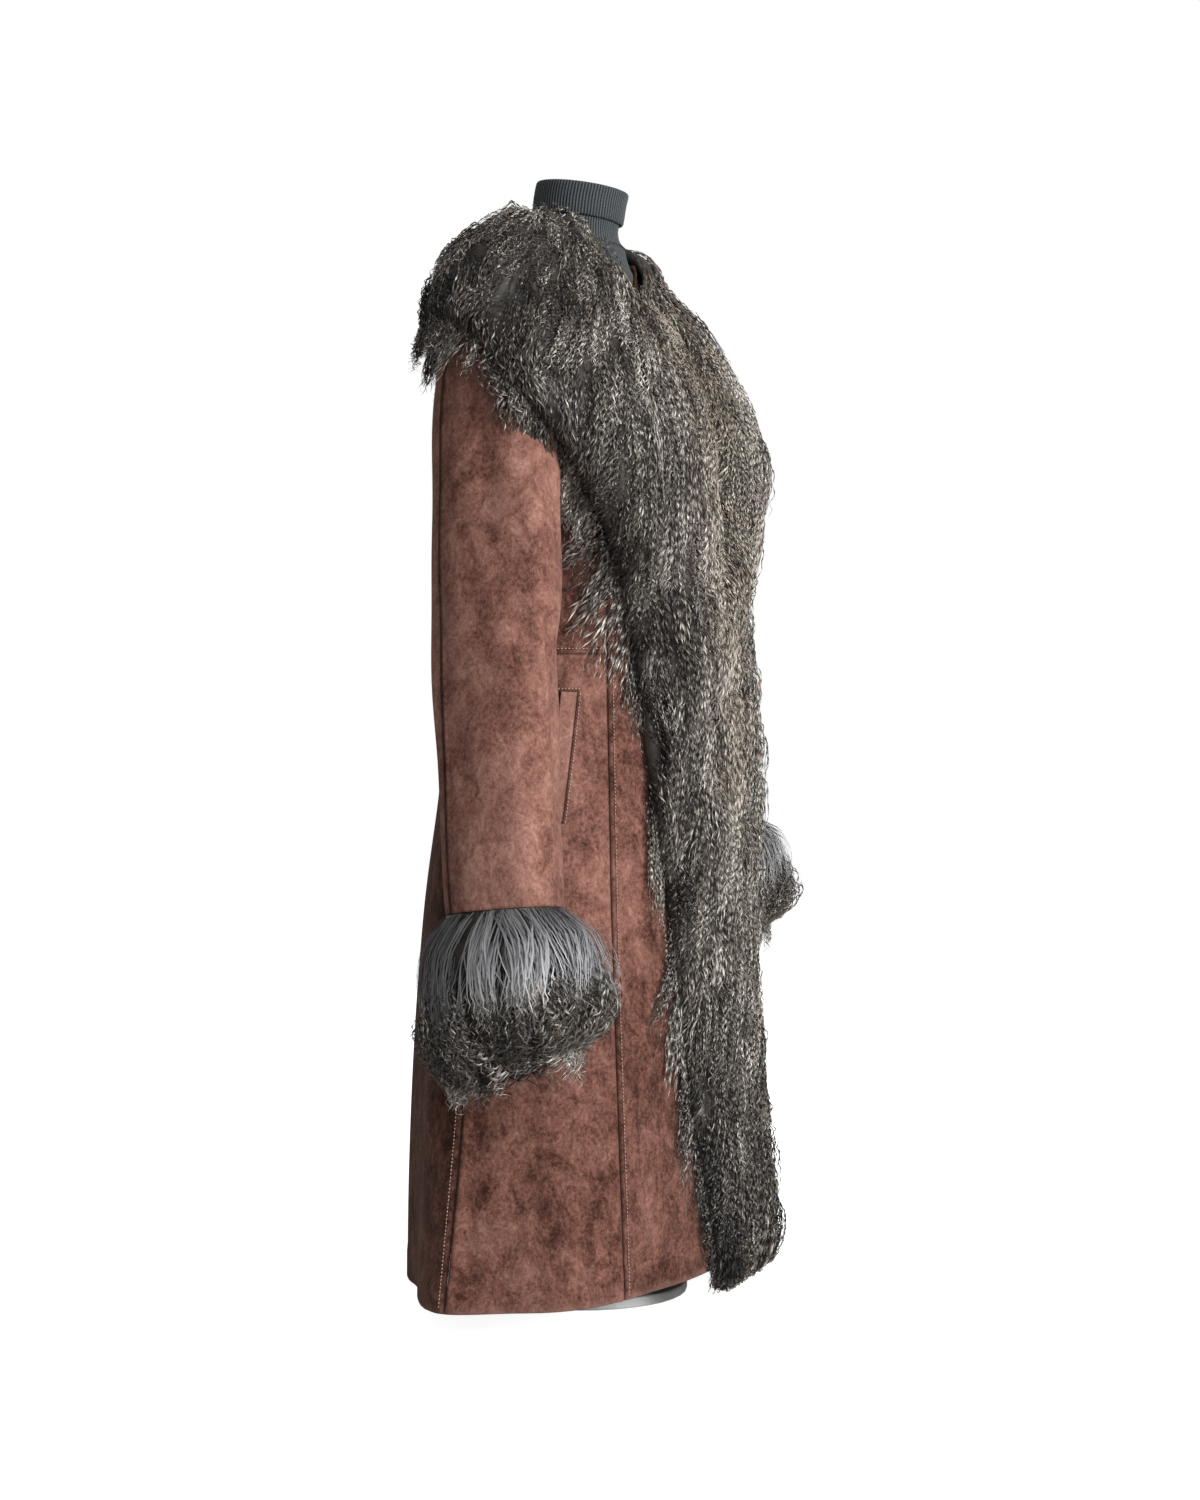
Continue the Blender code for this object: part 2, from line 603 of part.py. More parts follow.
def fur_rows(angles, height, lower, from_neck):
    """A row of the lamb's skin and of the reach of its pile."""
    skin_row, tip_row = [], []
    for angle in angles:
        reach = FUR_CLEARANCE + pile_at(angle, height, lower, from_neck)
        skin_row.append(pile_reach(angle, height, FUR_CLEARANCE))
        tip_row.append(pile_reach(angle, height, reach))
    return skin_row, tip_row


def with_way(heights):
    """(height, way from the neck edge) for each of these heights of the drape."""
    top = DRAPE_RINGS[-1].height
    sides = [drape_surface(90, height) for height in [*heights, top]]
    found = []
    for r, height in enumerate(heights):
        way = sum((sides[k + 1] - sides[k]).length for k in range(r, len(sides) - 1))
        found.append((height, way))
    return found


def front_fur(name, heights, columns, side, lamb, coat):
    """A front band or lapel, between the front edge and the outer edge of the lamb."""
    inside, outside = [], []
    for height, from_neck in with_way(heights):
        low = angle_inset(drape_surface, blended_row(FRONT_EDGE, height).angle, height, SEAM_GAP)
        high = angle_inset(drape_surface, blended_row(FUR_OUTER, height).angle, height, -SEAM_GAP)
        angles = [mix(low, high, c / columns) for c in range(columns + 1)]
        if side == "left":
            angles = [360 - angle for angle in reversed(angles)]
        skin_row, tip_row = fur_rows(angles, height, COLLAR_SIDE_HEIGHT, from_neck)
        inside.append(skin_row)
        outside.append(tip_row)
    sheet_object(f"{name}_{side}", inside, outside, lamb, coat)


def make_fur(lamb, coat):
    neck_edge = DRAPE_RINGS[-1].height
    shoulder = levels(COLLAR_SIDE_HEIGHT, neck_edge, COLLAR_ROWS)
    for side in ("right", "left"):
        front_fur("front_band", levels(FUR_BOTTOM, CLOSING - SEAM_GAP, 24), 6, side, lamb, coat)
        chest = levels(CLOSING + SEAM_GAP, COLLAR_SIDE_HEIGHT, 11)
        front_fur("lapel", chest[:-1] + shoulder, 9, side, lamb, coat)
    inside, outside = [], []
    columns = 18
    first, last = COLLAR_SIDE + 0.08, 360 - COLLAR_SIDE - 0.08
    angles = [mix(first, last, c / columns) for c in range(columns + 1)]
    for r in range(COLLAR_ROWS + 1):
        skin_row, tip_row = [], []
        for angle in angles:
            lower = blended_row(COLLAR_LOWER, angle).height
            height, from_neck = with_way(levels(lower, neck_edge, COLLAR_ROWS))[r]
            skin, tip = fur_rows([angle], height, lower, from_neck)
            skin_row += skin
            tip_row += tip
        inside.append(skin_row)
        outside.append(tip_row)
    sheet_object("collar_back", inside, outside, lamb, coat)


def cuff_ring(along, outside, columns):
    """Points round the cuff, along from its seam: on its inner skin, or on the reach of its pile."""
    row, centre, outward, to_front = sleeve_frame(SLEEVE_LAST)
    down = to_front.cross(outward).normalized()
    if down.z > 0:
        down = -down
    share = blended_row(CUFF_ROWS, along).pile
    flare = CUFF_FLARE * along / CUFF_ROWS[-1].along
    points = []
    for c in range(columns):
        turn = math.radians(360 * c / columns)
        across, ahead = math.cos(turn), math.sin(turn)
        radius = (abs(across) ** row.square + abs(ahead) ** row.square) ** (-1 / row.square)
        side_pile = CUFF_PILE if across > 0 else CUFF_PILE_INNER
        face_pile = CUFF_PILE_FRONT if ahead > 0 else CUFF_PILE_BACK
        pile = side_pile * across**2 + face_pile * ahead**2
        extra = pile * share if outside else -CUFF_SKIN
        direction = (outward * across + to_front * ahead).normalized()
        point = centre + (outward * across + to_front * ahead) * radius
        drop = along * (1 - CUFF_FRONT_SHORT * (1 + ahead) / 2) + SEAM_GAP
        points.append(point + direction * (extra + flare) + down * drop)
    return points


def make_cuffs(lamb, coat):
    columns = 22
    for side in ("right", "left"):
        rings = [cuff_ring(row.along, False, columns) for row in reversed(CUFF_ROWS[::2])]
        rings += [cuff_ring(row.along, True, columns) for row in CUFF_ROWS]
        rings = [[placed(point, side, SLEEVE_LAST) for point in ring] for ring in rings]
        if side == "left":
            rings = [ring[::-1] for ring in rings]
        tube_object(f"cuff_{side}", rings, lamb, coat, capped=False)


# ---- Dress form and stand -----------------------------------------------------------------------
def form_rings(columns):
    """Rings of the form: under the coat's own rows up to the neckline, then up the neck."""
    rings = []
    heights = [height for height in BODY_LEVELS if FORM_BOTTOM + 0.01 < height < NECKLINE - 0.008]
    for height in [FORM_BOTTOM, *heights]:
        gap = blended_row(FORM_EASE, height).gap + SUEDE
        ring = [moved_out(plain_surface, 360 * c / columns, height, -gap) for c in range(columns)]
        if height == FORM_BOTTOM:
            ring = [Vector((point.x, point.y, height)) for point in ring]
        rings.append(ring)
    neck_heights = [ring.height for ring in NECK_RINGS if ring.height < BAND_BOTTOM]
    for height in neck_heights + band_heights():
        neck = blended_row(NECK_RINGS, height)
        rings.append([neck_point(neck, 360 * c / columns) for c in range(columns)])
    return rings


def neck_point(neck, angle, extra=0.0):
    """A point round the form's neck, whose rings lean more and more to the front."""
    turn = math.radians(angle)
    lean = NECK_TILT * min(max((neck.height - 1.046) / 0.024, 0.0), 1.0)
    x = -math.sin(turn) * (neck.half_width + extra)
    y = -math.cos(turn) * (neck.half_depth + extra)
    return Vector((x, y - neck.forward, neck.height + y * lean))


BAND_BOTTOM = 1.0785
BAND_CLEARANCE = 0.0004
BAND_WALL = 0.0034


def band_heights():
    return [mix(BAND_BOTTOM, FORM_TOP, r / 4) for r in range(5)]


def make_form(cover, metal, stand):
    columns = 28
    tube_object("form_torso", form_rings(columns), cover, stand)
    inner, outer = [], []
    for height in band_heights():
        neck = blended_row(NECK_RINGS, height)
        inner.append([neck_point(neck, 360 * c / columns, BAND_CLEARANCE) for c in range(columns)])
        outer.append(
            [neck_point(neck, 360 * c / columns, BAND_CLEARANCE + BAND_WALL) for c in range(columns)])
    tube_object("form_neck_band", inner[::-1] + outer, cover, stand, capped=False)

    pole_bottom = BASE_THICKNESS + SEAM_GAP
    pole_top = FORM_BOTTOM - SEAM_GAP
    bpy.ops.mesh.primitive_cylinder_add(
        vertices=24, radius=POLE_RADIUS, depth=pole_top - pole_bottom,
        location=(0, 0, (pole_top + pole_bottom) / 2))
    pole = bpy.context.object
    pole.name = "form_pole"
    bpy.ops.mesh.primitive_cylinder_add(
        vertices=36, radius=BASE_RADIUS, depth=BASE_THICKNESS, location=(0, 0, BASE_THICKNESS / 2))
    base = bpy.context.object
    base.name = "form_base"
    bevel = base.modifiers.new("edge", "BEVEL")
    bevel.width = 0.002
    bevel.segments = 2
    for piece in (pole, base):
        piece.data.materials.append(metal)
        for collection in piece.users_collection:
            collection.objects.unlink(piece)
        stand.objects.link(piece)


# ---- Everything ---------------------------------------------------------------------------------
def main():
    for old in list(bpy.data.objects):
        bpy.data.objects.remove(old, do_unlink=True)
    coat = bpy.data.collections.new("suede_coat")
    stand = bpy.data.collections.new("dress_form")
    cutters = bpy.data.collections.new("cutters")
    for collection in (coat, stand, cutters):
        bpy.context.scene.collection.children.link(collection)

    suede = make_material("suede", SUEDE_COLOUR, 0.95)
    lamb = make_material("lamb", LAMB_COLOUR, 0.80)
    cover = make_material("knit_cover", KNIT_COLOUR, 0.95)
    metal = make_material("stand_metal", STAND_COLOUR, 0.45)

    make_body(suede, coat, cutters)
    make_pockets(suede, coat)
    make_sleeves(suede, coat)
    make_fur(lamb, coat)
    make_cuffs(lamb, coat)
    make_form(cover, metal, stand)


main()
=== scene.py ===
# %% [markdown]
# # A long suede coat with curled lamb, on a dress form
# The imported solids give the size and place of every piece. This script dresses them: it lofts the
# suede again with finer rows, so that folds, seams and stitches can be shaped in the mesh, and it
# grows the lamb as thousands of small ribbons. The loading comes first, because every piece below
# is placed by it.

# %% Load the frame
import math

import bmesh
import bpy
import numpy as np
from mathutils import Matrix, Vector


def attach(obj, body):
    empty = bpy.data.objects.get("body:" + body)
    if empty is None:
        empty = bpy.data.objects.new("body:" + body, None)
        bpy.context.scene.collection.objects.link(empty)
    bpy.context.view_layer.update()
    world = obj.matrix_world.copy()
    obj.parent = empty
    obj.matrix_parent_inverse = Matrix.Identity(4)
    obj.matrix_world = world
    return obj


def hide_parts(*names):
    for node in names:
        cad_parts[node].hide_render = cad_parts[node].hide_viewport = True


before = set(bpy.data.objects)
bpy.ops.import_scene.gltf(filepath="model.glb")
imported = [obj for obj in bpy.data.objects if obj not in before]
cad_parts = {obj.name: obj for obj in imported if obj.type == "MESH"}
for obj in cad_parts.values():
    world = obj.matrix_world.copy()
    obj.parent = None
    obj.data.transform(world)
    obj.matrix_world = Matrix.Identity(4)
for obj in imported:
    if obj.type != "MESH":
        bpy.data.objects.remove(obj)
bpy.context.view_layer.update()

# %% [markdown]
# ## Camera, floor and light
# The coat is seen from the wearer's right, a little from the front, by a level camera 2.5 m away.
# The axis of the form lies slightly left of the picture's middle, which a small shift gives. Soft
# light comes from four large lamps: a strong one on the camera's right for the front edge, a weaker
# one above the camera, one overhead, and one from behind so that the back of the sleeve reads.

# %% Camera
VIEW_FORWARD = Vector((0.927, 0.375, 0.0)).normalized()
VIEW_DISTANCE = 2.5
VIEW_HEIGHT = 0.543
LENS, SENSOR_WIDTH = 59.4, 36   # millimetres
SIDE_SHIFT = 17 / 1500          # share of the picture's longer side


def make_camera():
    camera = bpy.data.objects.new("photo_camera", bpy.data.cameras.new("photo_camera"))
    bpy.context.scene.collection.objects.link(camera)
    camera.location = -VIEW_FORWARD * VIEW_DISTANCE + Vector((0, 0, VIEW_HEIGHT))
    camera.rotation_euler = VIEW_FORWARD.to_track_quat("-Z", "Y").to_euler()
    camera.data.sensor_width = SENSOR_WIDTH
    camera.data.lens = LENS
    camera.data.shift_x = SIDE_SHIFT
    camera.data.clip_end = 30
    bpy.context.scene.camera = camera


make_camera()
bpy.context.scene.view_settings.view_transform = "Standard"

# %% Lamps and floor
# Each lamp: where it stands, how wide it is and how strong. All of them face the coat's middle.
LAMPS = {
    "key_lamp": ((-1.05, -3.1, 1.45), 1.3, 132),
    "side_lamp": ((-3.1, -1.7, 1.5), 1.4, 34),
    "top_lamp": ((-0.4, -0.6, 3.1), 1.2, 7),
    "back_lamp": ((2.2, 2.0, 1.9), 1.6, 14),
}
LAMP_AIM = Vector((0, 0, 0.6))


def make_lamp(name, place, size, power):
    lamp = bpy.data.objects.new(name, bpy.data.lights.new(name, "AREA"))
    lamp.data.size = size
    lamp.data.energy = power
    lamp.location = place
    lamp.rotation_euler = (LAMP_AIM - Vector(place)).to_track_quat("-Z", "Y").to_euler()
    bpy.context.scene.collection.objects.link(lamp)


def plain_material(name, colour, roughness):
    material = bpy.data.materials.new(name)
    material.use_nodes = True
    shader = material.node_tree.nodes["Principled BSDF"]
    shader.inputs["Base Color"].default_value = (*colour, 1)
    shader.inputs["Roughness"].default_value = roughness
    return material


def make_floor():
    bpy.ops.mesh.primitive_plane_add(size=14, location=(0, 0, 0))
    floor = bpy.context.object
    floor.name = "studio_floor"
    pale = plain_material("pale_floor", (0.88, 0.88, 0.88), 0.9)
    tree = pale.node_tree
    shader = tree.nodes["Principled BSDF"]
    # The camera sees a floor as pale as the background, but little of its light reaches the coat.
    seen = tree.nodes.new("ShaderNodeLightPath").outputs["Is Camera Ray"]
    for label, unseen, shown in (("Emission Strength", 0.0, 0.92), ("Base Color", 0.30, 0.86)):
        span = tree.nodes.new("ShaderNodeMapRange")
        tree.links.new(seen, span.inputs["Value"])
        span.inputs["To Min"].default_value = unseen
        span.inputs["To Max"].default_value = shown
        tree.links.new(span.outputs["Result"], shader.inputs[label])
    shader.inputs["Emission Color"].default_value = (1, 1, 1, 1)
    floor.data.materials.append(pale)


def make_world(seen, cast):
    """A white world: seen is its brightness behind the coat, cast the light that it throws."""
    world = bpy.data.worlds.new("studio")
    world.use_nodes = True
    tree = world.node_tree
    background = tree.nodes["Background"]
    background.inputs["Color"].default_value = (1, 1, 1, 1)
    path = tree.nodes.new("ShaderNodeLightPath")
    span = tree.nodes.new("ShaderNodeMapRange")
    tree.links.new(path.outputs["Is Camera Ray"], span.inputs["Value"])
    span.inputs["To Min"].default_value = cast
    span.inputs["To Max"].default_value = seen
    tree.links.new(span.outputs["Result"], background.inputs["Strength"])
    bpy.context.scene.world = world


for lamp_name, (lamp_place, lamp_size, lamp_power) in LAMPS.items():
    make_lamp(lamp_name, lamp_place, lamp_size, lamp_power)
make_floor()
make_world(seen=1.0, cast=0.20)
print("lamps:", ", ".join(LAMPS))

# %% [markdown]
# ## Tables of sections
# A coat on a form is a stack of level rings. Each ring needs only its reach to the sides, to the
# front and to the back, and how square its corners are. A smooth curve through the rows of a table
# gives every ring between them, for whole arrays of places at once, which keeps the fur quick.

# %% Smooth tables
def column(rows, place, index):
    """One column of a table, at an array of places along its first column."""
    keys = np.array([row[0] for row in rows], float)
    values = np.array([row[index] for row in rows], float)
    slopes = np.empty_like(values)
    slopes[1:-1] = (values[2:] - values[:-2]) / (keys[2:] - keys[:-2])
    slopes[0] = (values[1] - values[0]) / (keys[1] - keys[0])
    slopes[-1] = (values[-1] - values[-2]) / (keys[-1] - keys[-2])
    place = np.clip(place, keys[0], keys[-1])
    i = np.clip(np.searchsorted(keys, place, side="right") - 1, 0, len(keys) - 2)
    step = keys[i + 1] - keys[i]
    t = (place - keys[i]) / step
    start, end = values[i], values[i + 1]
    curve = (2 * t**3 - 3 * t**2 + 1) * start + (t**3 - 2 * t**2 + t) * step * slopes[i]
    curve += (3 * t**2 - 2 * t**3) * end + (t**3 - t**2) * step * slopes[i + 1]
    return np.where(start == end, start, curve)


def mix(a, b, t):
    return a + (b - a) * t


def smoothstep(value, low, high):
    t = np.clip((value - low) / (high - low), 0, 1)
    return t * t * (3 - 2 * t)


def rounded(distance, radius):
    """0 at an edge, rising along a quarter circle to 1 at radius from it."""
    share = np.clip(distance / radius, 0, 1)
    return np.sqrt(1 - (1 - share) ** 2)


def unit(vectors):
    return vectors / np.maximum(np.linalg.norm(vectors, axis=-1, keepdims=True), 1e-12)


def way_along(line):
    """Length from the start of a line of points to each of them."""
    return np.concatenate([[0], np.cumsum(np.linalg.norm(np.diff(line, axis=0), axis=1))])


def hump(distance, spread):
    """1 at distance 0, falling smoothly to both sides."""
    return np.exp(-((distance / spread) ** 2))


# %% The body of the coat
# height, half width, front, back, squareness
BODY_RINGS = [
    (0.000, 0.303, 0.170, 0.150, 2.2), (0.100, 0.283, 0.163, 0.149, 2.2),
    (0.170, 0.269, 0.153, 0.147, 2.2), (0.290, 0.247, 0.142, 0.141, 2.2),
    (0.390, 0.229, 0.138, 0.134, 2.2), (0.490, 0.210, 0.135, 0.122, 2.2),
    (0.570, 0.195, 0.133, 0.116, 2.2), (0.635, 0.184, 0.130, 0.106, 2.2),
    (0.700, 0.182, 0.129, 0.104, 2.2), (0.780, 0.189, 0.128, 0.108, 2.3),
    (0.840, 0.192, 0.122, 0.110, 2.3), (0.900, 0.190, 0.103, 0.107, 2.3),
    (0.940, 0.187, 0.083, 0.098, 2.3), (0.965, 0.184, 0.069, 0.088, 2.3),
    (0.985, 0.179, 0.056, 0.078, 2.2), (1.000, 0.168, 0.047, 0.069, 2.1),
    (1.014, 0.149, 0.043, 0.062, 2.0), (1.026, 0.126, 0.043, 0.057, 2.0),
    (1.038, 0.100, 0.045, 0.055, 2.0), (1.052, 0.074, 0.050, 0.054, 2.0),
]
# What the collar lies on: the coat up to the chest, then the coat and the sleeve heads together.
DRAPE_RINGS = [row for row in BODY_RINGS if row[0] < 0.69] + [
    (0.700, 0.186, 0.130, 0.105, 2.2), (0.730, 0.198, 0.131, 0.107, 2.3),
    (0.780, 0.233, 0.130, 0.112, 2.5), (0.830, 0.272, 0.128, 0.116, 2.8),
    (0.880, 0.284, 0.118, 0.114, 2.7), (0.920, 0.277, 0.104, 0.108, 2.5),
    (0.945, 0.266, 0.092, 0.100, 2.4), (0.970, 0.250, 0.076, 0.090, 2.3),
    (0.990, 0.230, 0.062, 0.081, 2.2), (1.004, 0.205, 0.053, 0.073, 2.1),
    (1.016, 0.174, 0.048, 0.068, 2.0), (1.028, 0.138, 0.047, 0.062, 2.0),
    (1.040, 0.106, 0.049, 0.059, 2.0), (1.054, 0.074, 0.051, 0.056, 2.0),
]
NECK_RISE = 0.020
HEM_FRONT, HEM_BACK = 0.046, 0.023
# Flutes of the skirt: angle, spread, depth, height at which each one starts.
FLUTES = [
    (50, 9, -0.004, 0.33), (66, 8, 0.004, 0.39), (82, 7, -0.009, 0.43), (94, 7, 0.007, 0.47),
    (114, 16, -0.034, 0.46), (150, 10, -0.004, 0.41), (168, 9, 0.007, 0.37),
    (188, 9, -0.008, 0.40), (207, 9, 0.006, 0.42), (244, 15, -0.026, 0.44),
    (265, 8, 0.008, 0.46), (278, 7, -0.008, 0.42), (292, 8, 0.006, 0.38), (309, 9, -0.004, 0.33),
]


def ring_points(rings, angle, height, extra=0.0):
    """Points at these angles and heights. Angle 0 is the centre front, 90 the wearer's right."""
    turn = np.radians(angle)
    side, ahead = np.sin(turn), np.cos(turn)
    depth = np.where(ahead > 0, column(rings, height, 2), column(rings, height, 3))
    square = column(rings, height, 4)
    powers = np.abs(side / column(rings, height, 1)) ** square + np.abs(ahead / depth) ** square
    radius = powers ** (-1 / square) + extra
    rise = -NECK_RISE * ahead * smoothstep(height, 0.960, 1.040)
    return np.stack([-side * radius, -ahead * radius, height + rise], axis=-1)


def flute_depth(angle, height):
    total = np.zeros(np.broadcast(angle, height).shape)
    for centre, spread, depth, top in FLUTES:
        drop = np.maximum((top - height) / (top - HEM_BACK), 0)
        total = total + depth * drop**1.4 * hump(angle % 360 - centre, spread)
    return total


def coat_surface(angle, height):
    return ring_points(BODY_RINGS, angle, height, flute_depth(angle, height))


def drape_surface(angle, height):
    return ring_points(DRAPE_RINGS, angle, height, flute_depth(angle, height))


def surface_normal(surface, a, b, da=0.5, db=0.002):
    across = surface(a + da, b) - surface(a - da, b)
    up = surface(a, b + db) - surface(a, b - db)
    return unit(np.cross(up, across))


def metres_per_degree(surface, angle, height):
    """How far one degree reaches on this surface, at these angles and heights."""
    step = surface(angle + 0.5, height) - surface(angle - 0.5, height)
    return np.linalg.norm(step, axis=-1)


def on_the_right(angle):
    """The angle of the mirrored place on the wearer's right, from 0 to 180."""
    return np.where(angle % 360 <= 180, angle % 360, 360 - angle % 360)


def hem_height(angle):
    return mix(HEM_BACK, HEM_FRONT, (1 + np.cos(np.radians(angle))) / 2)


def even_heights(rings, bottom, top, rows):
    """Heights whose rings lie evenly along the side line, so that the shoulders get enough rows."""
    fine = np.linspace(bottom, top, 600)
    line = ring_points(rings, np.full(600, 90.0), fine)
    length = way_along(line)
    return np.interp(np.linspace(0, length[-1], rows + 1), length, fine)


print("body rings:", len(BODY_RINGS), "flutes:", len(FLUTES))

# %% [markdown]
# ## Shared material effects
# Node groups hold the effects that several finishes use. `nap` gives brushed suede: broad patches
# where the nap lies one way or the other, smaller rubbed marks and a fine grain. `threads` gives
# fine lines for yarn and fibre. Each group puts out only masks and heights; the shader stays in
# the material itself.

# %% Node group helpers
def new_group(name, numbers, outputs):
    group = bpy.data.node_groups.new(name, "ShaderNodeTree")
    group.interface.new_socket("Vector", in_out="INPUT", socket_type="NodeSocketVector")
    for label, value in numbers.items():
        socket = group.interface.new_socket(label, in_out="INPUT", socket_type="NodeSocketFloat")
        socket.default_value = value
    for label in outputs:
        group.interface.new_socket(label, in_out="OUTPUT", socket_type="NodeSocketFloat")
    enter = group.nodes.new("NodeGroupInput")
    leave = group.nodes.new("NodeGroupOutput")
    return group, enter, leave


def add_noise(tree, vector, scale, detail=3.0, roughness=0.55, distortion=0.0):
    noise = tree.nodes.new("ShaderNodeTexNoise")
    noise.inputs["Detail"].default_value = detail
    noise.inputs["Roughness"].default_value = roughness
    noise.inputs["Distortion"].default_value = distortion
    if isinstance(scale, (int, float)):
        noise.inputs["Scale"].default_value = scale
    else:
        tree.links.new(scale, noise.inputs["Scale"])
    tree.links.new(vector, noise.inputs["Vector"])
    return noise.outputs["Fac"]


def add_math(tree, operation, *values):
    node = tree.nodes.new("ShaderNodeMath")
    node.operation = operation
    for socket, value in zip(node.inputs, values):
        if isinstance(value, (int, float)):
            socket.default_value = value
        else:
            tree.links.new(value, socket)
    return node.outputs[0]


def add_span(tree, value, low, high, to_low=0.0, to_high=1.0):
    """Maps a value from one span to another, held at the ends."""
    node = tree.nodes.new("ShaderNodeMapRange")
    tree.links.new(value, node.inputs["Value"])
    spans = {"From Min": low, "From Max": high, "To Min": to_low, "To Max": to_high}
    for label, number in spans.items():
        node.inputs[label].default_value = number
    return node.outputs["Result"]


def add_stretch(tree, vector, scale):
    node = tree.nodes.new("ShaderNodeMapping")
    node.inputs["Scale"].default_value = scale
    tree.links.new(vector, node.inputs["Vector"])
    return node.outputs["Vector"]


# %% The nap and thread groups
def make_nap_group():
    group, enter, leave = new_group(
        "nap", {"Patch Scale": 9.0, "Grain Scale": 900.0}, ["Patches", "Rubs", "Grain"])
    patch_scale, grain_scale = enter.outputs["Patch Scale"], enter.outputs["Grain Scale"]
    rub_scale = add_math(group, "MULTIPLY", patch_scale, 5.0)
    # Each mark is a little longer up and down than across: name, scale, stretch, then the noise.
    for label, scale, stretch, detail, roughness, distortion in (
            ("Patches", patch_scale, 0.70, 8.0, 0.66, 0.6),
            ("Rubs", rub_scale, 0.72, 8.0, 0.74, 0.8),
            ("Grain", grain_scale, 0.88, 5.0, 0.80, 0.4)):
        place = add_stretch(group, enter.outputs["Vector"], (1.0, 1.0, stretch))
        marks = add_noise(group, place, scale, detail, roughness, distortion)
        group.links.new(marks, leave.inputs[label])
    return group


def make_thread_group():
    group, enter, leave = new_group("threads", {"Scale": 700.0}, ["Lines"])
    drawn_out = add_stretch(group, enter.outputs["Vector"], (1, 1, 0.08))
    lines = add_noise(group, drawn_out, enter.outputs["Scale"], detail=2.0, roughness=0.6)
    group.links.new(lines, leave.inputs["Lines"])
    return group


NAP = make_nap_group()
THREADS = make_thread_group()


def place_group(tree, group, vector, **numbers):
    node = tree.nodes.new("ShaderNodeGroup")
    node.node_tree = group
    tree.links.new(vector, node.inputs["Vector"])
    for label, value in numbers.items():
        node.inputs[label.replace("_", " ")].default_value = value
    return node.outputs


def add_ramp(tree, value, stops):
    """A colour ramp through (place, colour) stops."""
    ramp = tree.nodes.new("ShaderNodeValToRGB")
    while len(ramp.color_ramp.elements) < len(stops):
        ramp.color_ramp.elements.new(0.5)
    for element, (place, colour) in zip(ramp.color_ramp.elements, stops):
        element.position = place
        element.color = (*colour, 1)
    tree.links.new(value, ramp.inputs["Fac"])
    return ramp.outputs["Color"]


def add_tint(tree, first, second, amount, blend="MIX"):
    """Mixes two colours; either may be a fixed one."""
    node = tree.nodes.new("ShaderNodeMix")
    node.data_type = "RGBA"
    node.blend_type = blend
    for label, value in (("A", first), ("B", second)):
        socket = [s for s in node.inputs if s.name == label and s.type == "RGBA"][0]
        if isinstance(value, tuple):
            socket.default_value = (*value, 1)
        else:
            tree.links.new(value, socket)
    if isinstance(amount, (int, float)):
        node.inputs[0].default_value = amount
    else:
        tree.links.new(amount, node.inputs[0])
    return [s for s in node.outputs if s.type == "RGBA"][0]


def add_bump(tree, height, strength, distance):
    bump = tree.nodes.new("ShaderNodeBump")
    bump.inputs["Strength"].default_value = strength
    bump.inputs["Distance"].default_value = distance
    tree.links.new(height, bump.inputs["Height"])
    return bump.outputs["Normal"]


def attribute(tree, name):
    node = tree.nodes.new("ShaderNodeAttribute")
    node.attribute_name = name
    return node.outputs["Fac"]


def start_material(name, roughness, specular=0.5):
    material = bpy.data.materials.new(name)
    material.use_nodes = True
    tree = material.node_tree
    shader = tree.nodes["Principled BSDF"]
    shader.inputs["Roughness"].default_value = roughness
    shader.inputs["Specular IOR Level"].default_value = specular
    place = tree.nodes.new("ShaderNodeTexCoord").outputs["Object"]
    return material, tree, shader, place


print("groups:", NAP.name, THREADS.name)

# %% [markdown]
# ## Suede
# The skins are a warm reddish brown, brushed into lighter and darker clouds, with no shine at all.
# Three noises of falling size drive one colour ramp; the two finer ones also make a slight bump. A
# little sheen lifts the edges that turn away, as real nap does. Two attributes of the mesh join
# in: one makes a panel lighter or darker and adds painted shade to the hollows of the folds and
# painted light to the sleeves; the other darkens the seams, where the nap is pressed, lifts the
# edges, where it is rubbed, and paints shade into the pocket slots and along the welts.

# %% Suede material
SUEDE_COLOURS = [
    (0.385, (0.034, 0.013, 0.009)), (0.435, (0.091, 0.038, 0.0275)),
    (0.490, (0.180, 0.080, 0.060)), (0.545, (0.272, 0.134, 0.103)),
    (0.610, (0.385, 0.212, 0.167)),
]
# The pressed colour darkens the seams, where the nap is pressed, and is also painted shade in the
# pocket slots and along the welts' edges.
PRESSED_SUEDE_AND_SHADE, RUBBED_SUEDE = (0.018, 0.008, 0.006), (0.42, 0.25, 0.20)
# How much each kind of mark counts in the colour; together they make 1.
PATCH_SHARE, RUB_SHARE, GRAIN_SHARE = 0.31, 0.36, 0.33


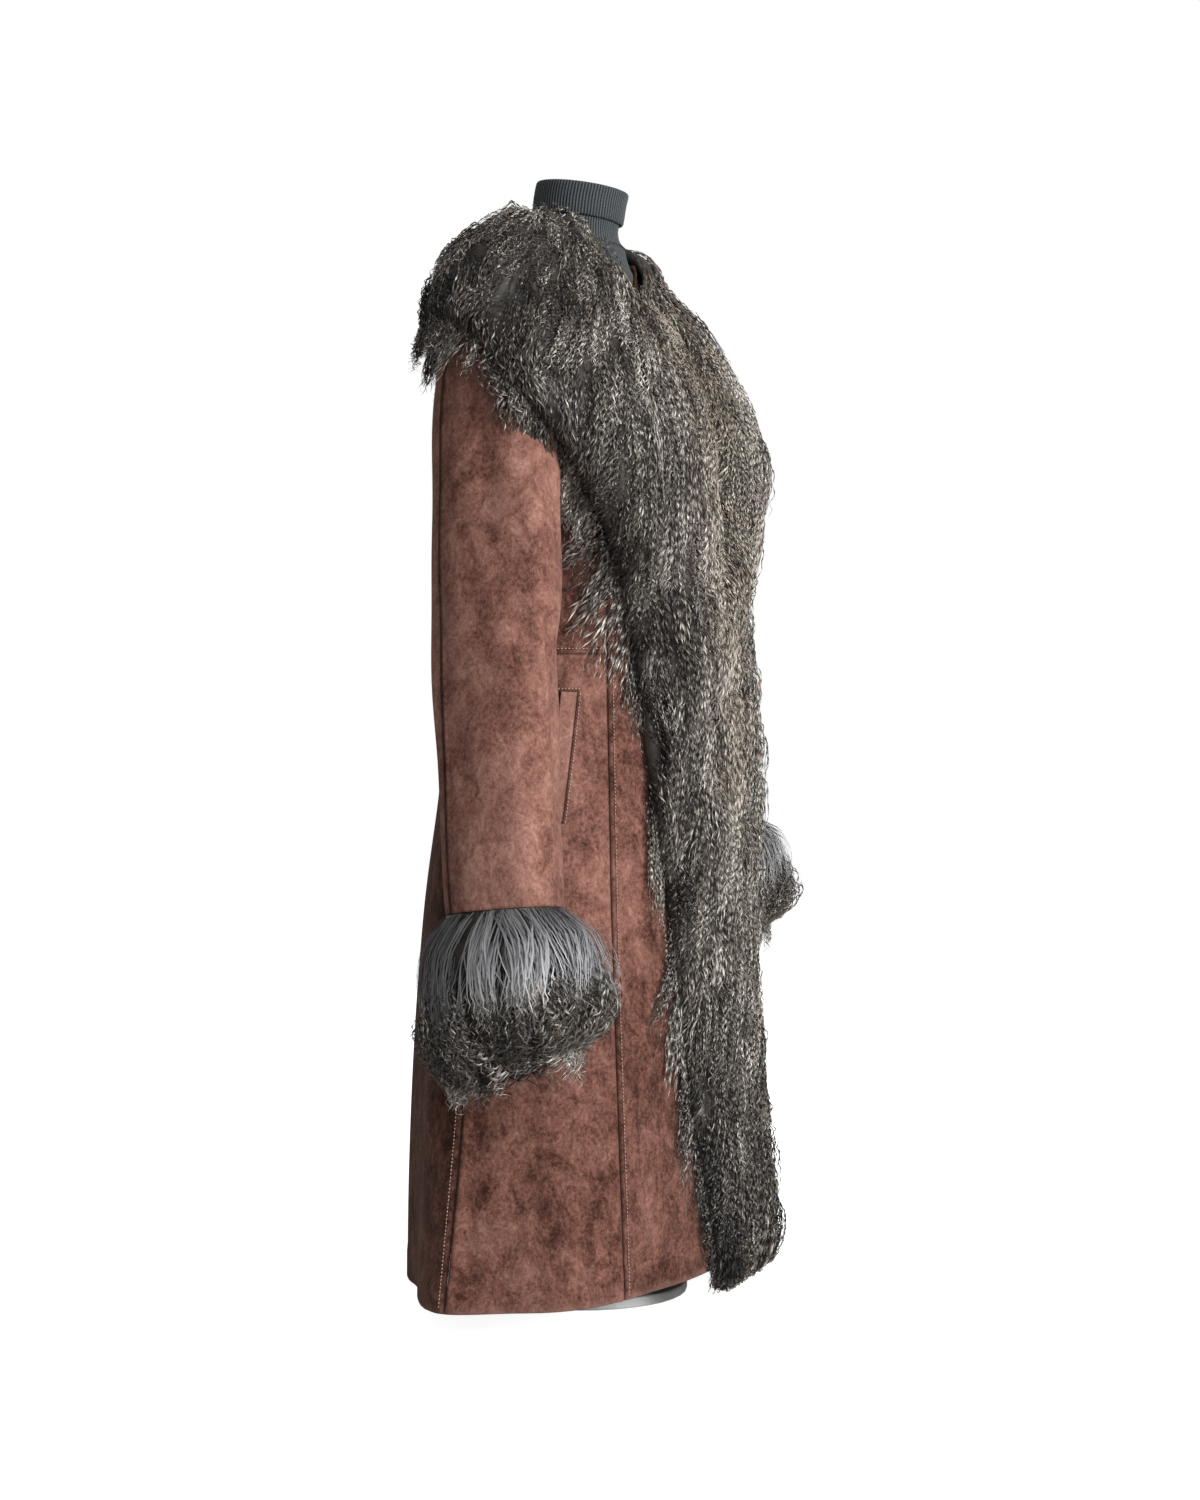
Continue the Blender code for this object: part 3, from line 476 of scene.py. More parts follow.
def make_suede():
    material, tree, shader, place = start_material("suede", 0.94, 0.12)
    nap = place_group(tree, NAP, place, Patch_Scale=9.0, Grain_Scale=290.0)
    shade = add_math(tree, "MULTIPLY", nap["Patches"], PATCH_SHARE)
    shade = add_math(tree, "MULTIPLY_ADD", nap["Rubs"], RUB_SHARE, shade)
    shade = add_math(tree, "MULTIPLY_ADD", nap["Grain"], GRAIN_SHARE, shade)
    # Besides each skin's dye, this attribute carries painted shade in the hollows of folds and creases
    # and on shadowed panels, and painted light on the sleeves.
    shade = add_math(tree, "ADD", shade, attribute(tree, "tone_and_shade"))
    colour = add_ramp(tree, shade, SUEDE_COLOURS)
    # Low values darken pressed seams and paint shade into the pocket slots and along the welts; high
    # values lift rubbed edges.
    wear_and_shade = attribute(tree, "wear_and_shade")
    colour = add_tint(tree, colour, PRESSED_SUEDE_AND_SHADE, add_span(tree, wear_and_shade, 0.5, 0.0, 0.0, 0.92))
    colour = add_tint(tree, colour, RUBBED_SUEDE, add_span(tree, wear_and_shade, 0.5, 1.0, 0.0, 0.35))
    tree.links.new(colour, shader.inputs["Base Color"])
    height = add_math(tree, "MULTIPLY_ADD", nap["Rubs"], 0.6, nap["Grain"])
    tree.links.new(add_bump(tree, height, 0.60, 0.0012), shader.inputs["Normal"])
    shader.inputs["Sheen Weight"].default_value = 0.22
    shader.inputs["Sheen Roughness"].default_value = 0.45
    shader.inputs["Sheen Tint"].default_value = (0.80, 0.52, 0.42, 1)
    return material


SUEDE_FINISH = make_suede()

# %% [markdown]
# ## Suede panels
# Every panel is an open grid between two seams, thickened by a modifier. Columns crowd towards the
# seams, so that the cloth can dip into each seam and swell beside it, where two layers are turned
# in and stitched down. The folds are soft dents and ridges from a table, added along the normal.

# %% Seams and folds
SUEDE = 0.0016          # wall of the suede
SEAM_GAP = 0.00004      # between two panels, too narrow for the pale floor to show through
WAIST_SEAM = 0.633
CLOSING = 0.641         # the fronts meet edge to edge below this height
NECKLINE = 1.050
HEM_SLANT_TOP = 0.16    # the rings lean with the hem up to this height
# Seams and edges of the right side: height and angle.
FRONT_EDGE = [
    (0.000, 0.12), (CLOSING, 0.12), (0.730, 3.5), (0.830, 10.0), (0.920, 19.0), (1.000, 36.0),
    (1.055, 58.0),
]
PRINCESS = [
    (0.000, 59.0), (0.570, 60.5), (0.750, 60.5), (0.800, 62.0), (0.840, 65.0), (0.880, 71.0),
    (0.920, 80.0), (0.960, 90.0), (1.060, 90.0),
]
SIDE = [(0.000, 93.0), (0.820, 93.0), (0.960, 90.0), (1.060, 90.0)]
BACK = [(0.000, 180.0), (1.100, 180.0)]
# Folds of the body: angle, height, spread round in degrees, spread up, depth, lean in degrees/m.
FOLDS = [
    (89.5, 0.16, 3.2, 0.13, -0.0055, 4), (80.0, 0.17, 2.0, 0.09, -0.0022, -6),
    (72.0, 0.20, 4.0, 0.12, 0.0022, 8), (104.0, 0.20, 4.0, 0.12, 0.0030, 4),
    (66.0, 0.42, 5.0, 0.05, -0.0016, 40), (77.0, 0.66, 7.0, 0.018, -0.0020, 60),
    (70.0, 0.70, 6.0, 0.015, -0.0016, -80), (84.0, 0.60, 5.0, 0.020, -0.0018, -60),
    (128.0, 0.66, 9.0, 0.016, -0.0024, 50), (150.0, 0.70, 10.0, 0.018, -0.0022, -40),
    (168.0, 0.62, 8.0, 0.020, -0.0020, 30), (196.0, 0.67, 8.0, 0.018, -0.0022, -30),
    (222.0, 0.64, 9.0, 0.018, -0.0024, 50), (140.0, 0.30, 5.0, 0.14, 0.0030, 8),
    (160.0, 0.26, 4.0, 0.12, -0.0030, -6), (200.0, 0.28, 5.0, 0.14, -0.0028, 6),
    (226.0, 0.22, 5.0, 0.12, 0.0030, -8), (252.0, 0.24, 4.0, 0.12, -0.0028, 6),
    (284.0, 0.20, 4.0, 0.12, 0.0024, -6), (150.0, 0.86, 6.0, 0.05, -0.0024, 120),
    (210.0, 0.86, 6.0, 0.05, -0.0024, -120),
]

# Every skin takes the dye a little differently. On top of that, painted shade darkens the front
# strip beside the lamb, the bodice under the sleeve and the back, which turns away from the light,
# and painted light pales the sleeves.
PANEL_DYE_AND_SHADE = {
    "front": -0.056, "skirt": -0.034, "bodice": -0.058, "back": -0.066, "sleeve": 0.016,
}


def panel_dye_and_shade(name):
    short = name.replace("side_front_", "")
    return next(tone_and_shade for part, tone_and_shade in PANEL_DYE_AND_SHADE.items() if part in short)


def fold_depth(angle, height):
    total = np.zeros(np.broadcast(angle, height).shape)
    for centre, level, round_spread, up_spread, depth, lean in FOLDS:
        away = (angle - centre - lean * (height - level)) / round_spread
        total = total + depth * np.exp(-(away**2) - ((height - level) / up_spread) ** 2)
    return total


def slow_wave(points, seed, length):
    """Gentle unevenness of the cloth: a few long waves in different directions, about -1 to 1."""
    random = np.random.default_rng(seed)
    total = np.zeros(points.shape[:-1])
    for _ in range(6):
        direction = unit(random.normal(size=3) * (1, 1, 0.6))
        pace = 2 * np.pi / (length * random.uniform(0.7, 1.5))
        total += np.sin(points @ direction * pace + random.uniform(0, 6.3))
    return total / 3.2


def body_relief(angle, height, plain):
    """Height of the dressed cloth over the smooth coat: its folds and its unevenness."""
    return fold_depth(angle, height) + 0.0011 * slow_wave(plain, 3, 0.16)


# %% Panel builder
def crowded(count, edge_share):
    """Places from 0 to 1 that crowd towards both ends; edge_share is one edge step's part."""
    near = np.array([0.0, 0.5, 1.1, 2.0, 3.2, 5.0]) * edge_share
    middle = np.linspace(near[-1], 1 - near[-1], max(count, 2))[1:-1]
    return np.concatenate([near, middle, 1 - near[::-1]])


def place_mesh(mesh):
    made = bpy.data.objects.new(mesh.name, mesh)
    bpy.context.scene.collection.objects.link(made)
    return made


def turn_outwards(mesh):
    """Makes all faces of a closed mesh look outwards."""
    fix = bmesh.new()
    fix.from_mesh(mesh)
    bmesh.ops.recalc_face_normals(fix, faces=fix.faces)
    fix.to_mesh(mesh)
    fix.free()


def grid_faces(index):
    """Four corners of each face, from a grid of vertex numbers."""
    corners = [index[:-1, :-1], index[:-1, 1:], index[1:, 1:], index[1:, :-1]]
    return np.stack(corners, -1).reshape(-1, 4)


def object_from_grid(name, points, flip=False):
    rows, columns = points.shape[:2]
    index = np.arange(rows * columns).reshape(rows, columns)
    faces = grid_faces(index)
    if flip:
        faces = faces[:, ::-1]
    mesh = bpy.data.meshes.new(name)
    mesh.from_pydata(points.reshape(-1, 3).tolist(), [], faces.tolist())
    mesh.shade_smooth()
    return place_mesh(mesh)


def set_value(mesh, name, values):
    attribute = mesh.attributes.new(name, "FLOAT", "POINT")
    attribute.data.foreach_set("value", np.ascontiguousarray(values, np.float32).ravel())


TURNING = 0.0075        # width of the cloth turned in beside a seam


def seam_relief(distance):
    """Height beside a seam: a groove at the seam and a low swell where the turnings lie."""
    swell = 0.0007 * hump(distance - 0.0042, 0.0026)
    turned = 0.0004 * (1 - smoothstep(distance, TURNING, TURNING + 0.002))
    return swell + turned - 0.0013 * hump(distance, 0.0011)


def thicken(piece, wall=SUEDE):
    modifier = piece.modifiers.new("wall", "SOLIDIFY")
    modifier.thickness = wall
    modifier.offset = -1


ARMHOLE = (0.9095, -0.003, 0.0585, 0.0920)  # height, y, half depth, half height


def open_armhole(piece):
    """Takes out the cloth inside the armhole; the sleeve's head hides the cut."""
    height, y, half_depth, half_height = ARMHOLE
    mesh = bmesh.new()
    mesh.from_mesh(piece.data)
    inside = []
    for face in mesh.faces:
        middle = face.calc_center_median()
        reach = ((middle.y - y) / half_depth) ** 2 + ((middle.z - height) / half_height) ** 2
        if reach < 1 and abs(middle.x) > 0.12:
            inside.append(face)
    bmesh.ops.delete(mesh, geom=inside, context="FACES")
    mesh.to_mesh(piece.data)
    mesh.free()


ROW_HEIGHT, COLUMN_WIDTH = 0.0088, 0.0095   # size of one face of a panel, in metres
SEAM_STEP = 0.0022                          # first step of the columns beside a seam
WAIST_ROWS = np.array([0, 0.0007, 0.0018, 0.0035])


def panel_rows(bottom, top):
    """Heights of a panel's rows: even, but close together at the hem and at the waist seam."""
    heights = even_heights(BODY_RINGS, bottom, top, max(int((top - bottom) / ROW_HEIGHT), 12))
    if bottom < 0.1:
        heights = np.concatenate([[bottom, bottom + 0.001, bottom + 0.003], heights[1:]])
    if abs(bottom - WAIST_SEAM) < 0.01:
        heights = np.concatenate([bottom + WAIST_ROWS, heights[1:]])
    if abs(top - WAIST_SEAM) < 0.01:
        heights = np.concatenate([heights[:-1], top - WAIST_ROWS[::-1]])
    return heights[:, None]


def make_panel(name, low_edge, high_edge, bottom, top, rests_on, armhole=True):
    heights = panel_rows(bottom, top)
    low, high = column(low_edge, heights, 1), column(high_edge, heights, 1)
    degree = metres_per_degree(coat_surface, (low + high) / 2, heights)
    span = (high - low) * degree
    width = float(span.max())
    shares = crowded(max(int(width / COLUMN_WIDTH), 4), SEAM_STEP / width)[None, :]
    inset = 0.5 * SEAM_GAP / degree
    angle = (low + inset) + (high - low - 2 * inset) * shares
    slant = np.clip((HEM_SLANT_TOP - heights) / (HEM_SLANT_TOP - HEM_BACK), 0, 1)
    level = heights + (hem_height(angle) - HEM_BACK) * slant
    plain = coat_surface(angle, level)
    normal = surface_normal(coat_surface, angle, level)
    to_low, to_high = shares * span, (1 - shares) * span
    relief = body_relief(angle, level, plain)
    relief = relief + seam_relief(to_low) + seam_relief(to_high)
    wear_and_shade = 0.5 - 0.5 * hump(to_low, 0.0012) - 0.5 * hump(to_high, 0.0012)
    if bottom < 0.1:
        # The hem is turned up 3 cm: a low step where that ends, and a rubbed, rounded lower edge.
        above = heights - bottom
        turned_up = 0.0007 * (1 - smoothstep(above, 0.030, 0.034))
        relief = relief + turned_up - 0.0012 * hump(above, 0.0016)
        wear_and_shade = wear_and_shade + 0.45 * hump(above, 0.004)
    if abs(bottom - WAIST_SEAM) < 0.01 or abs(top - WAIST_SEAM) < 0.01:
        away = np.abs(level - WAIST_SEAM)
        relief = relief + 0.5 * seam_relief(away)
        wear_and_shade = wear_and_shade - 0.4 * hump(away, 0.0008)
    piece = object_from_grid(name, plain + normal * relief[..., None], flip=True)
    set_value(piece.data, "wear_and_shade", np.clip(wear_and_shade, 0, 1))
    # Painted shade darkens the hollows of the folds, and the tone drifts slowly over the whole skin.
    tone_and_shade = panel_dye_and_shade(name) + 0.010 * slow_wave(plain, 31, 0.20) + 2.2 * fold_depth(angle, level)
    set_value(piece.data, "tone_and_shade", tone_and_shade)
    if armhole:
        open_armhole(piece)
    thicken(piece)
    piece.data.materials.append(SUEDE_FINISH)
    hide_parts(name.replace("suede_", ""))
    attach(piece, "root")
    return piece


def other_side(edge):
    return [(height, 360 - angle) for height, angle in edge]


# %% The eight body panels
PANELS = {
    "front": (FRONT_EDGE, PRINCESS, HEM_BACK, NECKLINE),
    "side_front_skirt": (PRINCESS, SIDE, HEM_BACK, WAIST_SEAM - SEAM_GAP / 2),
    "side_front_bodice": (PRINCESS, SIDE, WAIST_SEAM + SEAM_GAP / 2, 0.925),
    "back": (SIDE, BACK, HEM_BACK, NECKLINE),
}
suede_pieces = []
for panel, (low_seam, high_seam, low_height, high_height) in PANELS.items():
    for side in ("right", "left"):
        edges = (low_seam, high_seam)
        if side == "left":
            edges = (other_side(high_seam), other_side(low_seam))
        suede_pieces.append(make_panel(
            f"suede_{panel}_{side}", *edges, low_height, high_height, ["form_torso"],
            armhole=panel != "side_front_skirt"))
print("body panels:", len(suede_pieces))

# %% [markdown]
# ## Sleeves
# A sleeve is a fan of rings round the armpit that turns into a hanging tube. It is cut in two: an
# upper and an under sleeve, joined by a seam that runs down the back of the arm and one in front.
# Gravity pulls soft creases from the elbow and across the inside of the arm.

# %% Sleeve surface
# row, outer x and z, inner x and z, half depth, forward, tilt, squareness, hug of the armhole
SLEEVE_ROWS = [
    (0, 0.166, 1.0035, 0.190, 0.8155, 0.0605, 0.003, 0, 2.0, 1.00),
    (1, 0.198, 1.000, 0.200, 0.808, 0.0605, 0.004, 0, 2.0, 0.55),
    (2, 0.224, 0.982, 0.206, 0.800, 0.0605, 0.005, 0, 2.1, 0.20),
    (3, 0.245, 0.948, 0.208, 0.788, 0.0605, 0.007, 0, 2.2, 0.00),
    (4, 0.262, 0.895, 0.208, 0.770, 0.0605, 0.009, 0, 2.3, 0.00),
    (5, 0.277, 0.825, 0.210, 0.742, 0.0600, 0.012, 0, 2.4, 0.00),
    (6, 0.292, 0.735, 0.216, 0.690, 0.0585, 0.018, 1, 2.5, 0.00),
    (7, 0.309, 0.635, 0.232, 0.613, 0.0560, 0.026, 3, 2.5, 0.00),
    (8, 0.333, 0.517, 0.256, 0.507, 0.0530, 0.039, 5, 2.5, 0.00),
    (9, 0.357, 0.404, 0.280, 0.397, 0.0515, 0.054, 6, 2.5, 0.00),
]
SLEEVE_LAST = 9.0
BACK_SEAM, FRONT_SEAM = -42.0, 138.0
# Creases: turn, row, spread round, spread along, depth, slant
CREASES = [
    (8, 5.6, 13, 1.3, -0.0030, 16), (38, 6.6, 12, 1.1, -0.0026, 14),
    (-18, 7.2, 12, 0.9, -0.0022, -10), (70, 5.0, 12, 1.2, -0.0024, 18),
    (110, 7.0, 14, 0.6, -0.0028, -30), (96, 7.7, 14, 0.5, -0.0024, 28),
    (-60, 7.1, 14, 0.9, 0.0028, 12), (205, 6.4, 16, 0.9, -0.0026, 10),
    (55, 8.1, 9, 0.45, -0.0014, 30), (20, 8.4, 10, 0.35, -0.0012, -26),
    (60, 3.6, 10, 0.8, -0.0016, 10), (-10, 3.4, 9, 0.7, 0.0014, 6),
    (8, 7.0, 5, 0.38, -0.0030, 10), (-8, 6.6, 6, 0.50, -0.0022, 14),
    (26, 7.7, 6, 0.30, -0.0018, -34), (-22, 7.9, 7, 0.30, -0.0020, 30),
    (46, 6.1, 6, 0.60, -0.0020, 12), (74, 6.9, 6, 0.45, -0.0024, 16),
    (30, 4.6, 5, 0.70, -0.0018, 8), (4, 4.9, 6, 0.80, -0.0020, 5),
    (88, 8.2, 6, 0.30, -0.0018, -22),
]
CREASE_STRENGTH = 1.4


def coat_side_at(y, z):
    depth = np.where(y < 0, column(BODY_RINGS, z, 2), column(BODY_RINGS, z, 3))
    square = column(BODY_RINGS, z, 4)
    return column(BODY_RINGS, z, 1) * np.maximum(1 - np.abs(y / depth) ** square, 0) ** (1 / square)


def crease_depth(turn, along):
    total = np.zeros(np.broadcast(turn, along).shape)
    for centre, row, round_spread, along_spread, depth, slant in CREASES:
        away = (turn - centre - slant * (along - row) + 180) % 360 - 180
        reach = (away / round_spread) ** 2 + ((along - row) / along_spread) ** 2
        total = total + depth * np.exp(-reach)
    return CREASE_STRENGTH * total


def sleeve_surface(turn, along):
    """The right sleeve: turn 0 is its outer side, 90 its front, 180 the side next to the body."""
    turn, along = np.broadcast_arrays(np.asarray(turn, float), np.asarray(along, float))
    outer_x, outer_z, inner_x, inner_z, half, forward, tilt, square, hug = (
        column(SLEEVE_ROWS, along, k) for k in range(1, 10))
    outer = np.stack([-outer_x, -forward, outer_z], -1)
    inner = np.stack([-inner_x, -forward, inner_z], -1)
    lean = np.radians(tilt)
    to_front = np.stack([np.zeros_like(lean), -np.cos(lean), np.sin(lean)], -1) * half[..., None]
    across, ahead = np.cos(np.radians(turn)), np.sin(np.radians(turn))
    radius = (np.abs(across) ** square + np.abs(ahead) ** square) ** (-1 / square)
    radius = radius + crease_depth(turn, along) / half
    spread = (outer - inner) / 2 * across[..., None] + to_front * ahead[..., None]
    point = (outer + inner) / 2 + spread * radius[..., None]
    hugged = mix(point[..., 0], -coat_side_at(point[..., 1], point[..., 2]), hug)
    point[..., 0] = np.where(hug > 0, hugged, point[..., 0])
    return point


LEFT_CUFF_BACK, LEFT_CUFF_UP, LEFT_CUFF_IN, LEFT_ELBOW_BACK = 0.040, 0.065, 0.004, 0.026


def placed(points, side, along):
    """Points made for the right sleeve, put on this side. The left sleeve hangs more bent."""
    if side == "right":
        return points
    share = np.clip((along - 2) / (SLEEVE_LAST - 2), 0, 1)
    lift = share**1.5
    back = LEFT_CUFF_BACK * lift + LEFT_ELBOW_BACK * np.sin(np.pi * share) ** 2
    x, y, z = points[..., 0], points[..., 1], points[..., 2]
    return np.stack([-x - LEFT_CUFF_IN * lift, y + back, z + LEFT_CUFF_UP * lift], -1)


# %% Sleeve builder
ROW_STEP = 0.117        # metres from one row of the table to the next, near the cuff
SLEEVE_HEM = 0.0085     # width of the turned hem
SEAM_TURN = 0.15        # degrees left free on each side of a sleeve seam


def sleeve_normal(turn, along):
    """Outward normal of the right sleeve."""
    return -surface_normal(sleeve_surface, turn, along, 1.0, 0.03)


def sleeve_wave(plain):
    """Unevenness of the sleeve's cloth."""
    return 0.0009 * slow_wave(plain, 8, 0.11)


def make_sleeve(name, low, high, side):
    last_rows = SLEEVE_LAST - np.array([0.06, 0.03, 0.0])
    rows = np.concatenate([np.linspace(0, SLEEVE_LAST - 0.1, 74), last_rows])[:, None]
    shares = crowded(19, SEAM_STEP / 0.16)[None, :]
    turn = low + SEAM_TURN + (high - low - 2 * SEAM_TURN) * shares
    turn = turn + 0 * rows
    along = rows + 0 * turn
    plain = sleeve_surface(turn, along)
    normal = sleeve_normal(turn, np.clip(along, 0.03, SLEEVE_LAST - 0.03))
    around = np.linalg.norm(np.diff(plain, axis=1), axis=2).sum(axis=1)[:, None]
    to_low, to_high = shares * around, (1 - shares) * around
    relief = sleeve_wave(plain) * smoothstep(along, 0.5, 2) + seam_relief(to_low) + seam_relief(to_high)
    wear_and_shade = 0.5 - 0.42 * hump(to_low, 0.0018) - 0.42 * hump(to_high, 0.0018)
    above_cuff = (SLEEVE_LAST - along) * ROW_STEP
    turned = 0.0006 * (1 - smoothstep(above_cuff, SLEEVE_HEM, SLEEVE_HEM + 0.002))
    relief = relief - 0.0010 * hump(above_cuff - SLEEVE_HEM, 0.0010) + turned
    wear_and_shade = wear_and_shade - 0.25 * hump(above_cuff - SLEEVE_HEM, 0.0012)
    shaped = placed(plain + normal * relief[..., None], side, along)
    piece = object_from_grid(name, shaped, flip=side == "left")
    set_value(piece.data, "wear_and_shade", np.clip(wear_and_shade, 0, 1))
    # Painted light makes the upper arm paler, and painted shade darkens the hollows of the creases.
    tone_and_shade = PANEL_DYE_AND_SHADE["sleeve"] + 0.030 * (1 - smoothstep(along, 2.0, 5.5))
    tone_and_shade = tone_and_shade + 0.012 * slow_wave(plain, 33, 0.16) + 2.6 * crease_depth(turn, along)
    set_value(piece.data, "tone_and_shade", tone_and_shade)
    thicken(piece)
    piece.data.materials.append(SUEDE_FINISH)
    half = name.replace("suede_sleeve_", "")
    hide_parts(f"sleeve_{half}", f"forearm_{half}")
    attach(piece, "root")
    return piece


# %% The four sleeve panels
for side in ("right", "left"):
    suede_pieces.append(make_sleeve(f"suede_sleeve_top_{side}", BACK_SEAM, FRONT_SEAM, side))
    suede_pieces.append(make_sleeve(f"suede_sleeve_under_{side}", FRONT_SEAM, BACK_SEAM + 360, side))

# %% [markdown]
# ## Curled lamb: its skin and depth
# The lapels, front bands, collar and cuffs are long haired lamb. Its hair stands a few centimetres
# off the skin, rounds off at every edge, and hangs in narrow wavy locks. The depth of the pile is
# worked out from a few tables; a dark fleece, painted as the shade deep in the pile, fills its
# lower half, and the locks grow out of that.

# %% Tables of the lamb
COLLAR_SIDE, COLLAR_SIDE_HEIGHT = 100.0, 0.945
FUR_OUTER = [
    (0.000, 24.0), (0.077, 26.0), (0.210, 32.0), (0.305, 35.0), (0.381, 38.0), (0.448, 43.0),
    (0.533, 47.0), (0.638, 52.0), (0.695, 56.0), (0.740, 61.0), (0.785, 67.0), (0.834, 74.0),
    (0.879, 81.5), (0.907, 86.0), (0.930, 93.0), (COLLAR_SIDE_HEIGHT, COLLAR_SIDE),
    (1.060, COLLAR_SIDE),
]
PILE = [
    (0.000, 0.032), (0.250, 0.035), (0.550, 0.040), (0.650, 0.041), (0.780, 0.039), (0.880, 0.032),
    (0.960, 0.028), (1.060, 0.038),
]
COLLAR_LOWER = [
    (100, 0.945), (118, 0.932), (150, 0.907), (180, 0.895), (210, 0.907), (242, 0.932), (260, 0.945),
]
FUR_BOTTOM, FUR_EDGE_SHARE, FUR_EDGE_ROUND, FUR_CLEARANCE = 0.027, 0.20, 0.045, 0.0010
NECK_EDGE = DRAPE_RINGS[-1][0]


def way_from_neck(height):
    """Length of cloth between this height and the neck edge, down the side of the drape."""
    fine = np.linspace(0.80, NECK_EDGE, 200)
    line = ring_points(DRAPE_RINGS, np.full(200, 90.0), fine)
    length = way_along(line)
    return np.interp(height, fine, length[-1] - length) + np.maximum(0.80 - height, 0)


def pile_at(angle, height):
    """Depth of the pile: full between the edges of the lamb and rounded off at each of them."""
    right = on_the_right(angle)
    degree = metres_per_degree(drape_surface, angle, height)
    outer = column(FUR_OUTER, height, 1)
    lower = np.where(right < COLLAR_SIDE, COLLAR_SIDE_HEIGHT, column(COLLAR_LOWER, right, 1))
    above = np.maximum(height - lower, 0)
    to_side = np.maximum(outer - right, 0) * degree
    from_outer = rounded(np.hypot(to_side, above), FUR_EDGE_ROUND)
    depth = column(PILE, height, 1) * mix(FUR_EDGE_SHARE, 1, from_outer)
    opening = np.clip((height - CLOSING) / 0.06, 0, 1)
    from_edge = rounded((right - column(FRONT_EDGE, height, 1)) * degree, 0.050)
    front = mix(mix(0.80, 1, from_edge), mix(0.25, 1, from_edge), opening)
    depth = depth * np.where(right < outer, front, 1)
    depth = depth * mix(0.30, 1, rounded(np.maximum(height - FUR_BOTTOM, 0), 0.045))
    return depth * mix(0.85, 1, rounded(np.maximum(way_from_neck(height), 0), 0.030))


def collar_point(angle, height, depth):
    """A point of the lamb, depth off its skin, kept at its own angle from above."""
    angle, height, depth = np.broadcast_arrays(angle, height, depth)
    point = drape_surface(angle, height)
    upper = np.minimum(height + 0.002, NECK_EDGE)
    up_it = drape_surface(angle, upper) - drape_surface(angle, upper - 0.004)
    away = unit(point * (1, 1, 0))
    climb = unit(np.stack([(up_it * away).sum(-1), up_it[..., 2]], -1))
    off_skin = away * climb[..., 1:] - np.array([0, 0, 1]) * climb[..., :1]
    return point + off_skin * (depth + FUR_CLEARANCE)[..., None]


# %% The cuffs of lamb
# along the cuff, share of the full pile
CUFF_ROWS = [
    (0.000, 0.10), (0.006, 0.42), (0.020, 0.70), (0.045, 0.90), (0.080, 1.00), (0.110, 0.95),
    (0.132, 0.76), (0.147, 0.46), (0.154, 0.14),
]
CUFF_LENGTH = 0.154
CUFF_PILE, CUFF_PILE_FRONT, CUFF_PILE_BACK, CUFF_PILE_INNER = 0.040, 0.048, 0.028, 0.021
CUFF_FLARE, CUFF_FRONT_SHORT = 0.004, 0.20


def cuff_pile(turn, along):
    across, ahead = np.cos(np.radians(turn)), np.sin(np.radians(turn))
    side_pile = np.where(across > 0, CUFF_PILE, CUFF_PILE_INNER)
    face_pile = np.where(ahead > 0, CUFF_PILE_FRONT, CUFF_PILE_BACK)
    return (side_pile * across**2 + face_pile * ahead**2) * column(CUFF_ROWS, along, 1)


def cuff_point(turn, along, depth):
    """A point of the right cuff, depth off the line of the sleeve's end."""
    turn, along, depth = np.broadcast_arrays(turn, along, depth)
    outer_x, outer_z, inner_x, inner_z, half, forward, tilt, square = SLEEVE_ROWS[-1][1:9]
    centre = np.array([-(outer_x + inner_x) / 2, -forward, (outer_z + inner_z) / 2])
    outward = np.array([-(outer_x - inner_x) / 2, 0, (outer_z - inner_z) / 2])
    lean = math.radians(tilt)
    to_front = np.array([0, -math.cos(lean), math.sin(lean)]) * half
    down = unit(np.cross(to_front, outward))
    down = -down if down[2] > 0 else down
    across, ahead = np.cos(np.radians(turn)), np.sin(np.radians(turn))
    radius = (np.abs(across) ** square + np.abs(ahead) ** square) ** (-1 / square)
    spread = outward * across[..., None] + to_front * ahead[..., None]
    drop = along * (1 - CUFF_FRONT_SHORT * (1 + ahead) / 2) + SEAM_GAP
    extra = depth + CUFF_FLARE * along / CUFF_LENGTH
    at_cuff = centre + spread * radius[..., None]
    return at_cuff + unit(spread) * extra[..., None] + down * drop[..., None]


chest = pile_at(np.array([20.0, 40.0, 60.0]), np.full(3, 0.78))
print("pile at the chest:", np.round(chest, 3))

# %% [markdown]
# ## Lamb finish
# Hair is dark and brown at the root and pale at the tip, and every lock has its own shade. The mesh
# stores this as attributes: "tip" runs from root to tip, "shade" differs by lock and also carries
# painted shade between the tufts, inside the curls, towards the sleeves and in the fleece, and
# painted glints on some locks; "cool" marks the combed upper hair of the cuffs, which is greyer,
# and "faded" the tan lamb along the front edges.
# The roughness is low enough for the bends of a curl to glint.

# %% Lamb material
DARK_LAMB = [
    (0.10, (0.010, 0.0082, 0.0070)), (0.34, (0.044, 0.036, 0.030)),
    (0.54, (0.135, 0.114, 0.096)), (0.74, (0.300, 0.266, 0.232)), (0.95, (0.600, 0.560, 0.505)),
]
TAN_LAMB = [
    (0.10, (0.040, 0.032, 0.024)), (0.38, (0.125, 0.103, 0.080)),
    (0.62, (0.245, 0.210, 0.168)), (0.95, (0.440, 0.390, 0.325)),
]
GREY_LAMB = [
    (0.10, (0.030, 0.030, 0.033)), (0.38, (0.125, 0.127, 0.135)),
    (0.62, (0.255, 0.260, 0.272)), (0.95, (0.480, 0.490, 0.505)),
]


